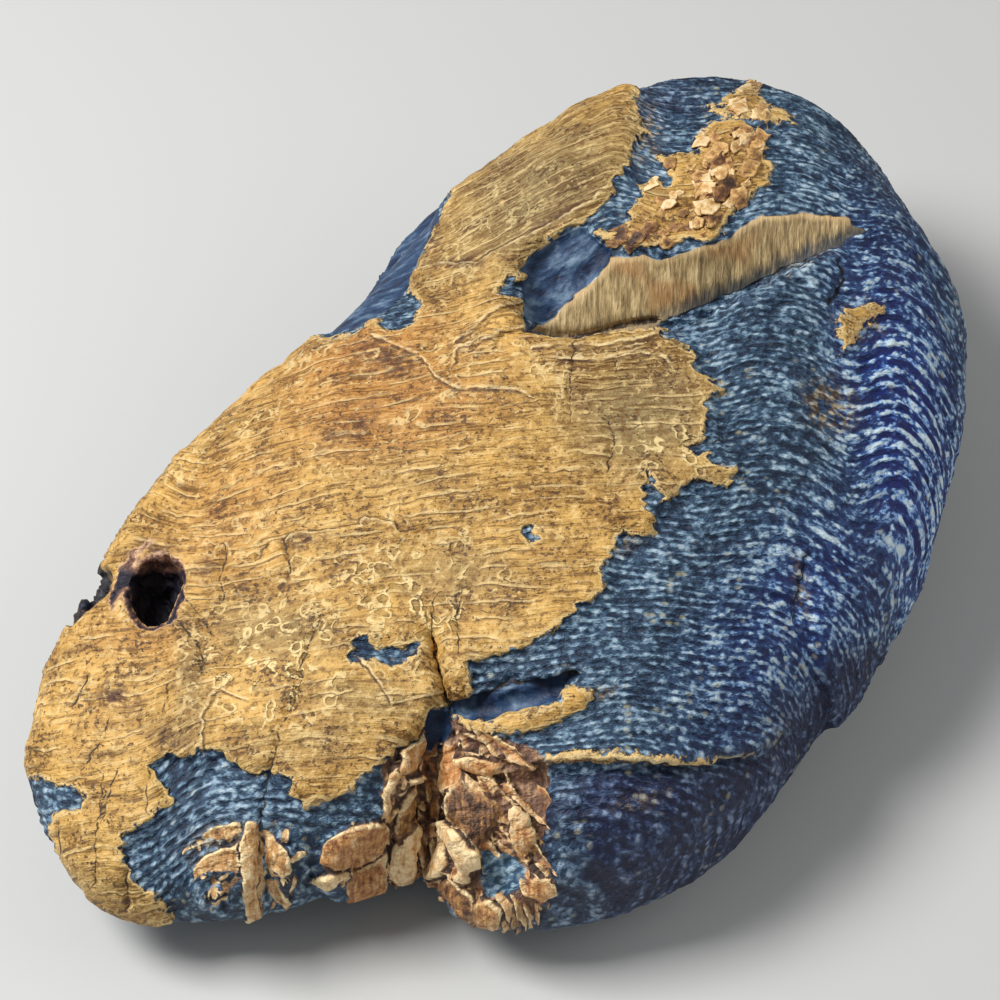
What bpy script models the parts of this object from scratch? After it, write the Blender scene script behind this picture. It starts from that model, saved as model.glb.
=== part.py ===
"""Petrified wood: one water-worn cobble of silicified wood that lies on a small flat spot.

The cobble is one solid. Its origin is under the middle of its box, where it rests: +X runs
along it to its thick, rounded end, +Y across it to its far side, and +Z up.
"""

import bmesh
import bpy
import numpy as np

# Lengths are in millimetres, and bearings in degrees from +X, counterclockwise from above
MM = 0.001

# The worn form
# How far the cobble reaches from its middle, bearing by bearing, at its widest line
OUTLINE = (
    (0, 86.0), (10, 90.5), (20, 89.0), (32, 79.0), (46, 65.5), (60, 55.5), (75, 48.5), (90, 46.0),
    (105, 47.0), (120, 51.5), (135, 60.0), (147, 70.0), (158, 77.0), (168, 81.5), (176, 82.0), (184, 75.0),
    (195, 63.5), (207, 58.5), (222, 59.5), (240, 58.5), (262, 53.5), (282, 52.0), (300, 56.0),
    (315, 62.5), (330, 70.5), (345, 78.5),
)
# Height of that widest line above the surface that the cobble lies on
GIRDLE = ((0, 27.0), (45, 26.0), (90, 22.0), (135, 19.0), (170, 14.0), (220, 12.0), (270, 15.0), (320, 21.0))
# How square the shoulder above it is, from 2 for an ellipse to 4 for a blunt edge
SHOULDER = ((0, 2.5), (45, 2.6), (90, 3.0), (130, 3.0), (180, 3.0), (225, 3.2), (255, 3.4), (285, 2.7), (320, 2.2))
BELLY = 2.1  # the same for the underside
SINK = 2.5  # how far the round belly would reach below the flat spot that it is worn to
FACE_HEIGHT, FACE_CLIMB = 48.0, 0.24  # the upper face: its height at the middle and its slope along +X
FACE_CAMBER = 4.0  # how far it falls away at 60 mm to either side
END_HEIGHT, END_START, END_FALL = 68.0, 66.0, 0.3  # the slope that rounds the thick end off
MELLOWING = 3.0  # how widely the meeting of those two is worn round

# Where the outline is broken in: middle bearing, half its width in degrees, depth, lowest and highest level
NOTCHES = ((206.0, 8.0, 5.0, -5, 34), (194.5, 3.0, 1.6, -5, 28), (146.0, 4.0, 3.5, 18, 34))
# The lobe low on the far side, which the upper face's rim overhangs
LOBE_BEARING, LOBE_SPREAD, LOBE_REACH, LOBE_TOP = 61.0, 24.0, 6.5, 34.0

# Scars that old knocks left on the sides that the drawing doesn't show: middle, radius and depth
SCARS = (
    ((20, 50, 30), 20, 2.6), ((-20, 44, 16), 18, 3.0), ((62, 42, 36), 17, 2.2), ((84, 14, 14), 18, 2.8),
    ((-66, 34, 10), 16, 2.4), ((52, -32, 6), 20, 2.6), ((-34, 36, 34), 12, 1.4), ((10, 46, 8), 16, 2.4),
)
# Broad swells that water left all over: how far apart, their direction, how high, and where they begin
SWELLS = (
    (46.0, (0.8, 0.5, 0.3), 0.55, 0.4), (31.0, (-0.4, 0.8, 0.5), 0.4, 1.9), (23.0, (0.3, -0.5, 0.8), 0.3, 3.1),
    (17.0, (0.7, 0.6, -0.4), 0.22, 5.2),
)

# The broken and carved forms are laid out on a drawing of the cobble, as seen from its near side
SIGHT_BEARING, SIGHT_LIFT, SIGHT_DISTANCE = -47.0, 52.0, 500.0
SIGHT_POINT = (2.0, 6.5, 26.0)  # the point of the cobble that the drawing's zero lies on

# The crust, the layer of paler wood that still covers most of the upper face: its ragged border
CRUST = (
    (-66, -66), (-75, -45), (-75, -21), (-66, -9), (-30, 30), (-25.5, 23), (-17, 28), (-13, 30.5), (-9, 43),
    (-7, 48), (-3, 55.5), (18, 63), (21, 59), (19, 48), (15, 43), (7, 39), (2, 34), (4, 30), (5, 26),
    (15, 24.5), (24, 26), (28.5, 22.5), (32, 17), (32.5, 9), (35, 3.5), (30, 2.5), (24.5, 0), (22.5, -3),
    (23, -6), (18.5, -7), (16.5, -13.5), (12, -18), (6, -22), (-1.5, -23.5), (-5.5, -26), (-7, -30),
    (-9, -32), (-15, -36), (-17, -40), (-23, -45), (-29, -45), (-34, -41), (-44, -38), (-52, -40),
    (-50, -45), (-52.5, -49.5), (-56, -52.5), (-55.5, -58.5), (-49.5, -62), (-52.5, -69),
)
CRUST_RISE, CRUST_EDGE = 1.3, 1.6  # how far it stands proud, and how wide its worn edge is

# The trough: a log's torn channel with one steep wall. Places are (across, up) on the drawing
TROUGH_NEAR_LIP = ((1, 27.5), (6, 25), (15, 24.5), (22.5, 25.5), (30, 28), (42, 33.5), (54.5, 39.5))
TROUGH_FAR_LIP = ((1, 31), (3, 35.5), (7, 38.5), (13.5, 40), (21, 38), (30, 37.5), (36, 41), (45, 43), (54.5, 40.5))
TROUGH_DEPTH = ((0.5, 0.0), (5, 7.0), (14, 8.5), (30, 8.5), (42, 6.5), (50, 3.0), (55, 0.0))
TROUGH_NEAR_WALL, TROUGH_FLOOR = 0.16, 0.3  # where its near wall and its floor end, from lip to lip

# The broken corner below the crust, where the wood split into plates round a fissure
BROKEN = (
    (-14, -32), (-4.5, -34), (9, -40), (9.5, -57), (-3, -64), (-9, -61), (-12, -57), (-18, -60),
    (-28, -58), (-26, -52), (-17, -45),
)
BROKEN_DEPTH, BROKEN_EDGE = 3.0, 5.0
FISSURE = ((-10, -21), (-8.5, -28.5), (-10, -33), (-11, -39), (-11.5, -49.5), (-12, -60))
CLEFT = ((-35.5, -50), (-35, -56), (-34, -61.5))
# Plates: middle, half length, half width, direction of the length in degrees, height of the raised long edge
PLATES = (
    (-22.5, -52.5, 6.5, 3.0, 27, 2.2), (-15.5, -53, 3.2, 4.0, 62, 2.4), (-6.5, -52.5, 3.4, 3.6, 120, 2.6),
    (-4.5, -46, 5.5, 3.6, -35, 2.0), (-2, -38.5, 5.5, 2.4, -22, 1.8), (-14.5, -41.5, 3.6, 2.6, 52, 1.8),
    (2.5, -49.5, 4.0, 2.2, 115, 1.6), (-41.5, -56.5, 5.0, 2.6, 28, 1.8), (-31.5, -56, 4.5, 2.0, 118, 1.8),
    (25.5, 47, 6.5, 4.0, 40, 1.6), (33, 49, 5.5, 4.0, 30, 1.8), (30.5, 43.5, 4.0, 2.8, -35, 1.5),
    (23.5, 42.5, 4.0, 2.2, 15, 1.4), (35.5, 57, 5.0, 2.6, 20, 1.3), (-0.5, 25.5, 5.0, 2.2, 42, 1.5),
)
# The hollow facet under the crust's overhanging edge, and the low ridge below it
FACET = ((-7.5, -29.5), (0, -30), (10.5, -26), (13.5, -28.5), (3, -31.5), (-3, -34), (-7.5, -33))
FACET_LINE = ((-7.5, -29), (0, -29.5), (11, -25.5))
FACET_DEPTH, FACET_WIDTH = 3.6, 4.5
RIDGE = ((-3, -34.5), (4, -32.5), (12.5, -29))
RIDGE_RISE, RIDGE_WIDTH = 1.3, 2.2
# The ledge along the near side, where the slope turns steep
LEDGE = ((5, -41), (15, -39.5), (22.5, -39.5), (30, -38.5), (38, -38), (44, -35))
LEDGE_RISE, LEDGE_WIDTH = 1.4, 3.5
# The step where the thick end stands proud of the near side
END_STEP = ((48.5, -33.5), (47.5, -26), (46.5, -18), (46, -8))
END_STEP_RISE, END_STEP_FADE, END_STEP_TOP = 1.8, 22.0, -8.0
PIT = (-17.2, -22.3, 5.2, 2.4, 1.5)  # a shallow pit in the crust: middle, half length, half width, depth

# The knot hole, bored into the thin end: where it opens, its axis, radii along and across, and depth
KNOT_MOUTH = (-49.0, 27.6, 33.5)
KNOT_TILT = (0.0, -8.0)  # how its axis leans from upright about X and Y, in degrees
KNOT_RADII = (3.4, 4.6)
KNOT_DEPTH, KNOT_FLARE = 12.0, 1.45
KNOT_SIDES = 18

GRID = 96  # cells along each edge of the cube that is wrapped round the cobble
FACETS = 9400  # triangles left of that grid
SHARPEST_ROUND = 40  # degrees between faces that are still shaded as one round surface

HONEY = (0.60, 0.42, 0.17, 1.0)


def around(table, bearing):
    """A smooth closed curve through (bearing, value) pairs, read at each bearing."""
    knots = np.array([row[0] for row in table], float)
    values = np.array([row[1] for row in table], float)
    knots = np.concatenate([knots[-2:] - 360, knots, knots[:3] + 360])
    values = np.concatenate([values[-2:], values, values[:3]])
    slopes = np.gradient(values, knots)
    at = np.mod(bearing, 360)
    i = np.clip(np.searchsorted(knots, at, side="right") - 1, 0, len(knots) - 2)
    span = knots[i + 1] - knots[i]
    t = (at - knots[i]) / span
    return (
        values[i] * (1 + 2 * t) * (1 - t) ** 2
        + slopes[i] * span * t * (1 - t) ** 2
        + values[i + 1] * t**2 * (3 - 2 * t)
        + slopes[i + 1] * span * t**2 * (t - 1)
    )


def along(table, at):
    """A polyline through (place, value) pairs, read at each place."""
    return np.interp(at, [row[0] for row in table], [row[1] for row in table])


def bump(t):
    """1 at t = 0, falling smoothly to 0 at t = -1 and 1."""
    t = np.clip(t, -1, 1)
    return (1 - t * t) ** 2


def step(t):
    """0 below t = 0, climbing smoothly to 1 at t = 1."""
    t = np.clip(t, 0, 1)
    return t * t * (3 - 2 * t)


def apart(a, b):
    """The difference between two bearings, from -180 to 180."""
    return np.mod(a - b + 180, 360) - 180


def to_line(line, place):
    """How far each place is from a polyline, and on which side: + on the left of its direction."""
    nearest = np.full(len(place), 1e9)
    side = np.zeros(len(place))
    for start, end in zip(line[:-1], line[1:]):
        start, way = np.array(start, float), np.subtract(end, start).astype(float)
        off = place - start
        t = np.clip(off @ way / (way @ way), 0, 1)
        gap = np.linalg.norm(off - t[:, None] * way, axis=1)
        turn = way[0] * off[:, 1] - way[1] * off[:, 0]
        closer = gap < nearest
        nearest = np.where(closer, gap, nearest)
        side = np.where(closer, np.sign(turn), side)
    return nearest, side


def within(ring, place):
    """How far each place lies inside a closed ring of corners, negative outside it."""
    corners = np.array(ring + ring[:1], float)
    crossings = np.zeros(len(place), int)
    for (xa, ya), (xb, yb) in zip(corners[:-1], corners[1:]):
        spans = (ya > place[:, 1]) != (yb > place[:, 1])
        if ya != yb:
            crossings += spans & (place[:, 0] < xa + (place[:, 1] - ya) * (xb - xa) / (yb - ya))
    gap, _ = to_line(corners, place)
    return np.where(crossings % 2, gap, -gap)


def wrapped_cube():
    """Directions on a cube's grid, which the cobble is drawn over, and its quads."""
    bm = bmesh.new()
    bmesh.ops.create_cube(bm, size=2.0)
    bmesh.ops.subdivide_edges(bm, edges=bm.edges[:], cuts=GRID - 1, use_grid_fill=True)
    points = np.array([v.co[:] for v in bm.verts])
    quads = [[v.index for v in f.verts] for f in bm.faces]
    bm.free()
    points = np.tan(points * np.pi / 4)  # evens out the cells' sizes
    return points / np.linalg.norm(points, axis=1, keepdims=True), quads


def crown(x, y):
    """Height of the upper face, which climbs along the cobble and falls off at its thick end."""
    face = FACE_HEIGHT + FACE_CLIMB * x - FACE_CAMBER * (y / 60.0) ** 2
    end = END_HEIGHT - END_FALL * (x - END_START)
    return -MELLOWING * np.log(np.exp(-face / MELLOWING) + np.exp(-end / MELLOWING))


def worn_form(ways):
    """The cobble as water wore it: a blunt shoulder over a round belly, all the way round."""
    bearing = np.degrees(np.arctan2(ways[:, 1], ways[:, 0]))
    level = np.hypot(ways[:, 0], ways[:, 1])
    rise = np.abs(ways[:, 2])
    up = ways[:, 2] > 0
    power = np.where(up, around(SHOULDER, bearing), BELLY)
    out = around(OUTLINE, bearing) * level ** (2 / power)
    unit = np.stack([np.cos(np.radians(bearing)), np.sin(np.radians(bearing))], 1)
    girdle = around(GIRDLE, bearing)
    top = girdle + (crown(*(out[:, None] * unit).T) - girdle) * rise ** (2 / power)
    under = girdle - (girdle + SINK) * rise ** (2 / power)
    z = np.where(up, top, under)
    rim = level**2  # the outline's own forms fade towards the middle of the top and the belly
    out += LOBE_REACH * bump(apart(bearing, LOBE_BEARING) / LOBE_SPREAD) * step((LOBE_TOP - z) / 4.0) * rim
    for middle, spread, depth, low, high in NOTCHES:
        reach = step((z - low) / 5.0) * step((high - z) / 6.0)
        out -= depth * bump(apart(bearing, middle) / spread) * reach * rim
    return np.column_stack([out[:, None] * unit, z])


def drawing(points):
    """Where points fall on the drawing, and the direction from them to its eye."""
    turn, lift = np.radians(SIGHT_BEARING), np.radians(SIGHT_LIFT)
    across = np.array([np.cos(turn), np.sin(turn), 0.0])
    back = np.array([np.sin(turn) * np.cos(lift), -np.cos(turn) * np.cos(lift), np.sin(lift)])
    off = points - SIGHT_POINT
    near = SIGHT_DISTANCE / (SIGHT_DISTANCE - off @ back)
    return np.stack([off @ across, off @ np.cross(back, across)], 1) * near[:, None], back


def trough(place):
    """The trough's depth: a steep near wall under a torn lip, a narrow floor and a leaning far wall."""
    near, far = along(TROUGH_NEAR_LIP, place[:, 0]), along(TROUGH_FAR_LIP, place[:, 0])
    t = (place[:, 1] - near) / (far - near)
    profile = step(t / TROUGH_NEAR_WALL) * (1 - np.clip((t - TROUGH_FLOOR) / (1 - TROUGH_FLOOR), 0, 1)) ** 0.9
    return -along(TROUGH_DEPTH, place[:, 0]) * profile * (t < 1)


def plates(place):
    """Tilted plates of split wood, each rising to one long edge and dropping off there."""
    height = np.zeros(len(place))
    for x, y, half_length, half_width, direction, rise in PLATES:
        turn = np.radians(direction)
        off = place - (x, y)
        lengthwise = (off @ (np.cos(turn), np.sin(turn))) / half_length
        crosswise = (off @ (-np.sin(turn), np.cos(turn))) / half_width
        body = step((1 - np.abs(lengthwise)) / 0.3) * step((1 - np.abs(crosswise)) / 0.25)
        height = np.maximum(height, rise * (0.55 - 0.45 * crosswise) * body)
    return height


def broken_forms(place):
    """How far each place stands proud of the worn form, or lies below it when negative."""
    height = CRUST_RISE * step(within(CRUST, place) / CRUST_EDGE + 0.5)
    height -= BROKEN_DEPTH * step(within(BROKEN, place) / BROKEN_EDGE)
    height += plates(place)
    height += trough(place)
    for groove, depth, half_width in ((FISSURE, 3.0, 2.0), (CLEFT, 2.4, 1.6)):
        gap, _ = to_line(groove, place)
        height -= depth * (1 - step(gap / half_width))
    gap, _ = to_line(FACET_LINE, place)
    height -= FACET_DEPTH * np.clip(1 - gap / FACET_WIDTH, 0, 1) * step(within(FACET, place) / 1.5 + 0.5)
    gap, _ = to_line(RIDGE, place)
    height += RIDGE_RISE * bump(gap / RIDGE_WIDTH)
    gap, side = to_line(LEDGE, place)
    height += LEDGE_RISE * bump(gap / LEDGE_WIDTH) * np.where(side > 0, 0.6, -1.0) * step(gap / 0.8)
    gap, side = to_line(END_STEP, place)
    proud = END_STEP_RISE * step(1 - gap / END_STEP_FADE) * step((END_STEP_TOP - place[:, 1]) / 14)
    height += proud * (side < 0) * step(gap / 1.2)
    x, y, half_length, half_width, depth = PIT
    height -= depth * bump(np.hypot((place[:, 0] - x) / half_length, (place[:, 1] - y) / half_width))
    return height


def old_wear(points):
    """The broad swells all over, and the scars on the far sides."""
    height = np.zeros(len(points))
    for length, direction, rise, start in SWELLS:
        way = np.array(direction) / np.linalg.norm(direction)
        height += rise * np.sin(points @ way * 2 * np.pi / length + start)
    for middle, radius, depth in SCARS:
        height -= depth * bump(np.linalg.norm(points - middle, axis=1) / radius)
    return height


def carved(mesh):
    """Moves the worn form's points out or in along its own normals. The drawing's forms keep to the side it shows."""
    points = np.array([v.co[:] for v in mesh.vertices]) / MM
    normals = np.array([n.vector[:] for n in mesh.vertex_normals])
    place, back = drawing(points)
    shown = step((normals @ back + 0.1) / 0.3)
    return points + normals * (broken_forms(place) * shown + old_wear(points))[:, None]


def thinned(mesh, triangles):
    """A copy of the mesh with about that many triangles, most of them where it bends most."""
    holder = bpy.data.objects.new("grid", mesh)
    bpy.context.scene.collection.objects.link(holder)
    mesh.calc_loop_triangles()
    thin = holder.modifiers.new("Thin", "DECIMATE")
    thin.ratio = triangles / len(mesh.loop_triangles)
    depsgraph = bpy.context.evaluated_depsgraph_get()
    result = bpy.data.meshes.new_from_object(holder.evaluated_get(depsgraph), depsgraph=depsgraph)
    bpy.data.objects.remove(holder, do_unlink=True)
    return result


def worn_flat(mesh):
    """Cuts the belly off level at the surface the cobble lies on, and closes it with one flat face."""
    bm = bmesh.new()
    bm.from_mesh(mesh)
    everything = bm.verts[:] + bm.edges[:] + bm.faces[:]
    cut = bmesh.ops.bisect_plane(bm, geom=everything, plane_co=(0, 0, 0), plane_no=(0, 0, -1), clear_outer=True)
    bmesh.ops.contextual_create(bm, geom=[e for e in cut["geom_cut"] if isinstance(e, bmesh.types.BMEdge)])
    bmesh.ops.recalc_face_normals(bm, faces=bm.faces[:])
    bm.to_mesh(mesh)
    bm.free()


def under_the_middle(mesh):
    """The point of the resting surface that lies under the middle of the mesh's box."""
    points = np.array([v.co[:] for v in mesh.vertices])
    middle = (points.min(0) + points.max(0)) / 2
    return np.array([middle[0], middle[1], 0.0])


def knot_cutter(origin):
    """A round-bottomed bore that flares at its mouth, to cut the knot hole with."""
    levels = np.linspace(0, 1, 6)  # from the bottom of the bore to above its mouth
    heights = -KNOT_DEPTH + levels * (KNOT_DEPTH + 5.0)
    widths = 0.25 + 0.75 * np.sqrt(levels) + (KNOT_FLARE - 1) * levels**4
    bm = bmesh.new()
    rings = []
    for height, width in zip(heights, widths):
        turns = np.arange(KNOT_SIDES) * 2 * np.pi / KNOT_SIDES
        ring = [
            bm.verts.new((KNOT_RADII[0] * width * np.cos(t) * MM, KNOT_RADII[1] * width * np.sin(t) * MM, height * MM))
            for t in turns
        ]
        rings.append(ring)
    for low, high in zip(rings[:-1], rings[1:]):
        for i in range(KNOT_SIDES):
            j = (i + 1) % KNOT_SIDES
            bm.faces.new((low[i], low[j], high[j], high[i]))
    bm.faces.new(rings[0][::-1])
    bm.faces.new(rings[-1])
    mesh = bpy.data.meshes.new("knot_bore")
    bm.to_mesh(mesh)
    bm.free()
    cutter = bpy.data.objects.new("knot_bore", mesh)
    cutter.location = np.array(KNOT_MOUTH) * MM - origin
    cutter.rotation_euler = (*np.radians(KNOT_TILT), np.radians(SIGHT_BEARING))
    cutter.hide_render = True
    cutter.display_type = "WIRE"
    bpy.context.scene.collection.objects.link(cutter)
    return cutter


def silicified_wood():
    """The stone's plain finish."""
    material = bpy.data.materials.new("silicified_wood")
    material.use_nodes = True
    shader = material.node_tree.nodes["Principled BSDF"]
    shader.inputs["Base Color"].default_value = HONEY
    shader.inputs["Roughness"].default_value = 0.6
    shader.inputs["Metallic"].default_value = 0.0
    return material


def petrified_wood():
    ways, quads = wrapped_cube()
    grid = bpy.data.meshes.new("grid")
    grid.from_pydata((worn_form(ways) * MM).tolist(), [], quads)
    grid.vertices.foreach_set("co", (carved(grid) * MM).ravel())
    mesh = thinned(grid, FACETS)
    mesh.name = "petrified_wood"
    worn_flat(mesh)
    mesh.shade_smooth()
    mesh.set_sharp_from_angle(angle=np.radians(SHARPEST_ROUND))
    mesh.materials.append(silicified_wood())
    origin = under_the_middle(mesh)
    cobble = bpy.data.objects.new("petrified_wood", mesh)
    cobble.location = -origin
    bpy.context.scene.collection.objects.link(cobble)
    bore = cobble.modifiers.new("Knot hole", "BOOLEAN")
    bore.operation = "DIFFERENCE"
    bore.object = knot_cutter(origin)
    return cobble


for old in list(bpy.data.objects):
    bpy.data.objects.remove(old, do_unlink=True)
petrified_wood()
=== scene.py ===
import bmesh
import bpy
import numpy as np
from mathutils import Matrix, Vector
from mathutils.bvhtree import BVHTree


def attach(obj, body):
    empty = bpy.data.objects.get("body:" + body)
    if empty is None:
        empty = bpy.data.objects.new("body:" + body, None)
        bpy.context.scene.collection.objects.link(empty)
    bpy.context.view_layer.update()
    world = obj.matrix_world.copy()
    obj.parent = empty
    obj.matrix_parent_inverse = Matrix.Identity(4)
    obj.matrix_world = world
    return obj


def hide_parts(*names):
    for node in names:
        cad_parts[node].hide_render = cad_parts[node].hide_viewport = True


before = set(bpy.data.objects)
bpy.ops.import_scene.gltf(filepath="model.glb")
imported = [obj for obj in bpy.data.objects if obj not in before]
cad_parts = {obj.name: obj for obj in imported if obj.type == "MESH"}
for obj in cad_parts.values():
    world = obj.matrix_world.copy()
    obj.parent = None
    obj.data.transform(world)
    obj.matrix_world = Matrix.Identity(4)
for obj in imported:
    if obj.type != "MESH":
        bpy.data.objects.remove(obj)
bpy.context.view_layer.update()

# The cobble: a piece of wood that turned to quartz cell by cell, broke, and was rounded by water. The
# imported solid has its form. Here its facets melt into one fine skin that takes the carving, with the two
# holes cut in fresh.
MM = 0.001
SKIN_CELL = 0.42  # mm between the skin's points
SKIN_EASE = 4  # rounds of smoothing that melt the facets' last edges
# Places on the stone are given on a drawing of it, as seen from its near side: (across, up) in mm. The
# camera stands at the drawing's eye, so the render and the drawing are one picture.
SIGHT_BEARING, SIGHT_LIFT, SIGHT_DISTANCE = -47.0, 52.0, 500.0
SIGHT_POINT = np.array([-1.66, 7.0, 26.0])  # the point of the stone that the drawing's zero lies on
turn, lift = np.radians(SIGHT_BEARING), np.radians(SIGHT_LIFT)
ACROSS = np.array([np.cos(turn), np.sin(turn), 0.0])
BACK = np.array([np.sin(turn) * np.cos(lift), -np.cos(turn) * np.cos(lift), np.sin(lift)])
UP = np.cross(BACK, ACROSS)
EYE = SIGHT_POINT + BACK * SIGHT_DISTANCE
# Holes: the middle's place on the drawing, how far it stands out towards the eye, and the radii across,
# up and in
HOLES = {
    "knot_hole": ((-51.5, -14.3), 18.3, (4.4, 6.1, 9.5)),
    "rim_hole": ((-61.0, -13.4), 12.0, (3.2, 4.0, 6.0)),
}
HOLE_LEAN = -BACK - 0.45 * UP  # the way they run in
HOLE_LEAN /= np.linalg.norm(HOLE_LEAN)
HOLE_FRAME = np.array([ACROSS, np.cross(HOLE_LEAN, ACROSS), HOLE_LEAN])
collection = bpy.context.scene.collection


def drawing(points):
    """Where points in mm fall on the drawing."""
    off = points - SIGHT_POINT
    return np.stack([off @ ACROSS, off @ UP], 1) * (SIGHT_DISTANCE / (SIGHT_DISTANCE - off @ BACK))[:, None]


def swell(at, size, seed):
    """Smooth random numbers from about -1 to 1 that change over size mm, which may differ by axis."""
    shuffle = np.random.RandomState(seed).permutation(256)
    slopes = np.random.RandomState(seed + 1).normal(size=(256, 3))
    slopes /= np.linalg.norm(slopes, axis=1, keepdims=True)
    at = at / size
    cell = np.floor(at).astype(int)
    part = at - cell
    fade = part**3 * (part * (part * 6 - 15) + 10)
    total = np.zeros(len(at))
    for corner in np.ndindex(2, 2, 2):
        key = (cell + corner) & 255
        pick = slopes[shuffle[(shuffle[(shuffle[key[:, 0]] + key[:, 1]) & 255] + key[:, 2]) & 255]]
        share = np.prod(np.where(corner, fade, 1 - fade), axis=1)
        total += share * np.einsum("ij,ij->i", pick, part - corner)
    return total * 1.7


def mesh_of(holder):
    """The object's mesh with its modifiers applied. The object itself is taken away."""
    depsgraph = bpy.context.evaluated_depsgraph_get()
    mesh = bpy.data.meshes.new_from_object(holder.evaluated_get(depsgraph), depsgraph=depsgraph)
    bpy.data.objects.remove(holder, do_unlink=True)
    return mesh


def rows_of(elements, name):
    """A vector of each element of a mesh, as rows."""
    rows = np.empty(len(elements) * 3)
    elements.foreach_get(name, rows)
    return rows.reshape(-1, 3)


def hole_cutter(name):
    """A lumpy egg that cuts one hole, and the hole's own middle."""
    mouth, near, radii = HOLES[name]
    aim = SIGHT_POINT + ACROSS * mouth[0] + UP * mouth[1] - EYE
    middle = EYE + aim * (1 - near / SIGHT_DISTANCE)
    bm = bmesh.new()
    bmesh.ops.create_icosphere(bm, subdivisions=4, radius=1.0)
    ways = np.array([v.co[:] for v in bm.verts])
    lumpy = ways * (1 + 0.1 * swell(ways, 0.7, 5))[:, None] * radii
    for vertex, point in zip(bm.verts, (middle + lumpy @ HOLE_FRAME) * MM):
        vertex.co = point
    mesh = bpy.data.meshes.new(name)
    bm.to_mesh(mesh)
    bm.free()
    cutter = bpy.data.objects.new(name, mesh)
    cutter.hide_render = True
    collection.objects.link(cutter)
    return cutter, middle


def fine_skin(solid):
    """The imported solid's mesh as one even, rounded skin with its holes, and the holes' middles."""
    bm = bmesh.new()
    bm.from_mesh(solid.data)
    bmesh.ops.remove_doubles(bm, verts=bm.verts[:], dist=0.001 * MM)
    mesh = bpy.data.meshes.new("solid")
    bm.to_mesh(mesh)
    bm.free()
    holder = bpy.data.objects.new("solid", mesh)
    collection.objects.link(holder)
    rounding = holder.modifiers.new("Rounding", "SUBSURF")
    rounding.levels = rounding.render_levels = 2
    cutters, middles = zip(*(hole_cutter(name) for name in HOLES))
    for cutter in cutters:
        hole = holder.modifiers.new("Hole", "BOOLEAN")
        hole.object = cutter
        hole.solver = "EXACT"
    evening = holder.modifiers.new("Evening", "REMESH")
    evening.mode = "VOXEL"
    evening.voxel_size = SKIN_CELL * MM
    easing = holder.modifiers.new("Easing", "SMOOTH")
    easing.iterations = SKIN_EASE
    skin = mesh_of(holder)
    for cutter in cutters:
        bpy.data.objects.remove(cutter, do_unlink=True)
    return skin, middles


def step(t):
    """0 below t = 0, climbing smoothly to 1 at t = 1."""
    t = np.clip(t, 0, 1)
    return t * t * (3 - 2 * t)


def bump(t):
    """1 at t = 0, falling smoothly to 0 at t = -1 and 1."""
    t = np.clip(t, -1, 1)
    return (1 - t * t) ** 2


skin, hole_middles = fine_skin(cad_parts["petrified_wood"])
points = rows_of(skin.vertices, "co") / MM
normals = rows_of(skin.vertex_normals, "vector")
place = drawing(points)
across, up = place.T
shown = step((normals @ BACK + 0.1) / 0.3)  # 1 on the side that the drawing shows
relief = np.zeros(len(points))  # how far the carving moves each point out, in mm

# The growth layers: the tree's yearly rings, cut nearly lengthwise, so they show as lines along the
# face that bend down over the thick end. Everything that wore or split the wood followed them.
LAYER_UP, LAYER_DEEP = 0.75, 0.65  # how the layers lean on the drawing
LAYER_LEAN = LAYER_UP * UP - LAYER_DEEP * BACK
CLIMB, CLIMB_MIDDLE = 0.5, 6.0  # how the lines climb across the upper left of the drawing
# Where they arch at the thick end: place, half width, height, and how low on the drawing it reaches
CRESTS = ((42.5, 13.0, 2.8, -70.0), (61.5, 10.0, 7.0, -22.0))
THIN_END, THIN_SLANT = -42.0, 0.5  # where the thin end starts, and how much less they lean there
off = points - SIGHT_POINT
layer = off @ LAYER_LEAN
layer -= LAYER_UP * CLIMB * (across - CLIMB_MIDDLE) * step((up - 25) / 12) * step((26 - across) / 10) * shown
for middle, half_width, height, low in CRESTS:
    layer -= LAYER_UP * height * bump((across - middle) / half_width) * step((up - low) / 26) * shown
depth_off = off @ BACK
level = np.median(depth_off[(np.abs(across + 45) < 5) & (shown > 0.5)])
layer += THIN_SLANT * (depth_off - level) * step((THIN_END - across) / 14) * shown
layer += 1.1 * swell(points, 34.0, 11) + 0.35 * swell(points, 9.0, 12)
THIRD = np.cross(LAYER_LEAN, ACROSS)
grain = np.stack([layer, off @ ACROSS, off @ THIRD], 1)  # across the layers, and the two ways along them

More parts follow.
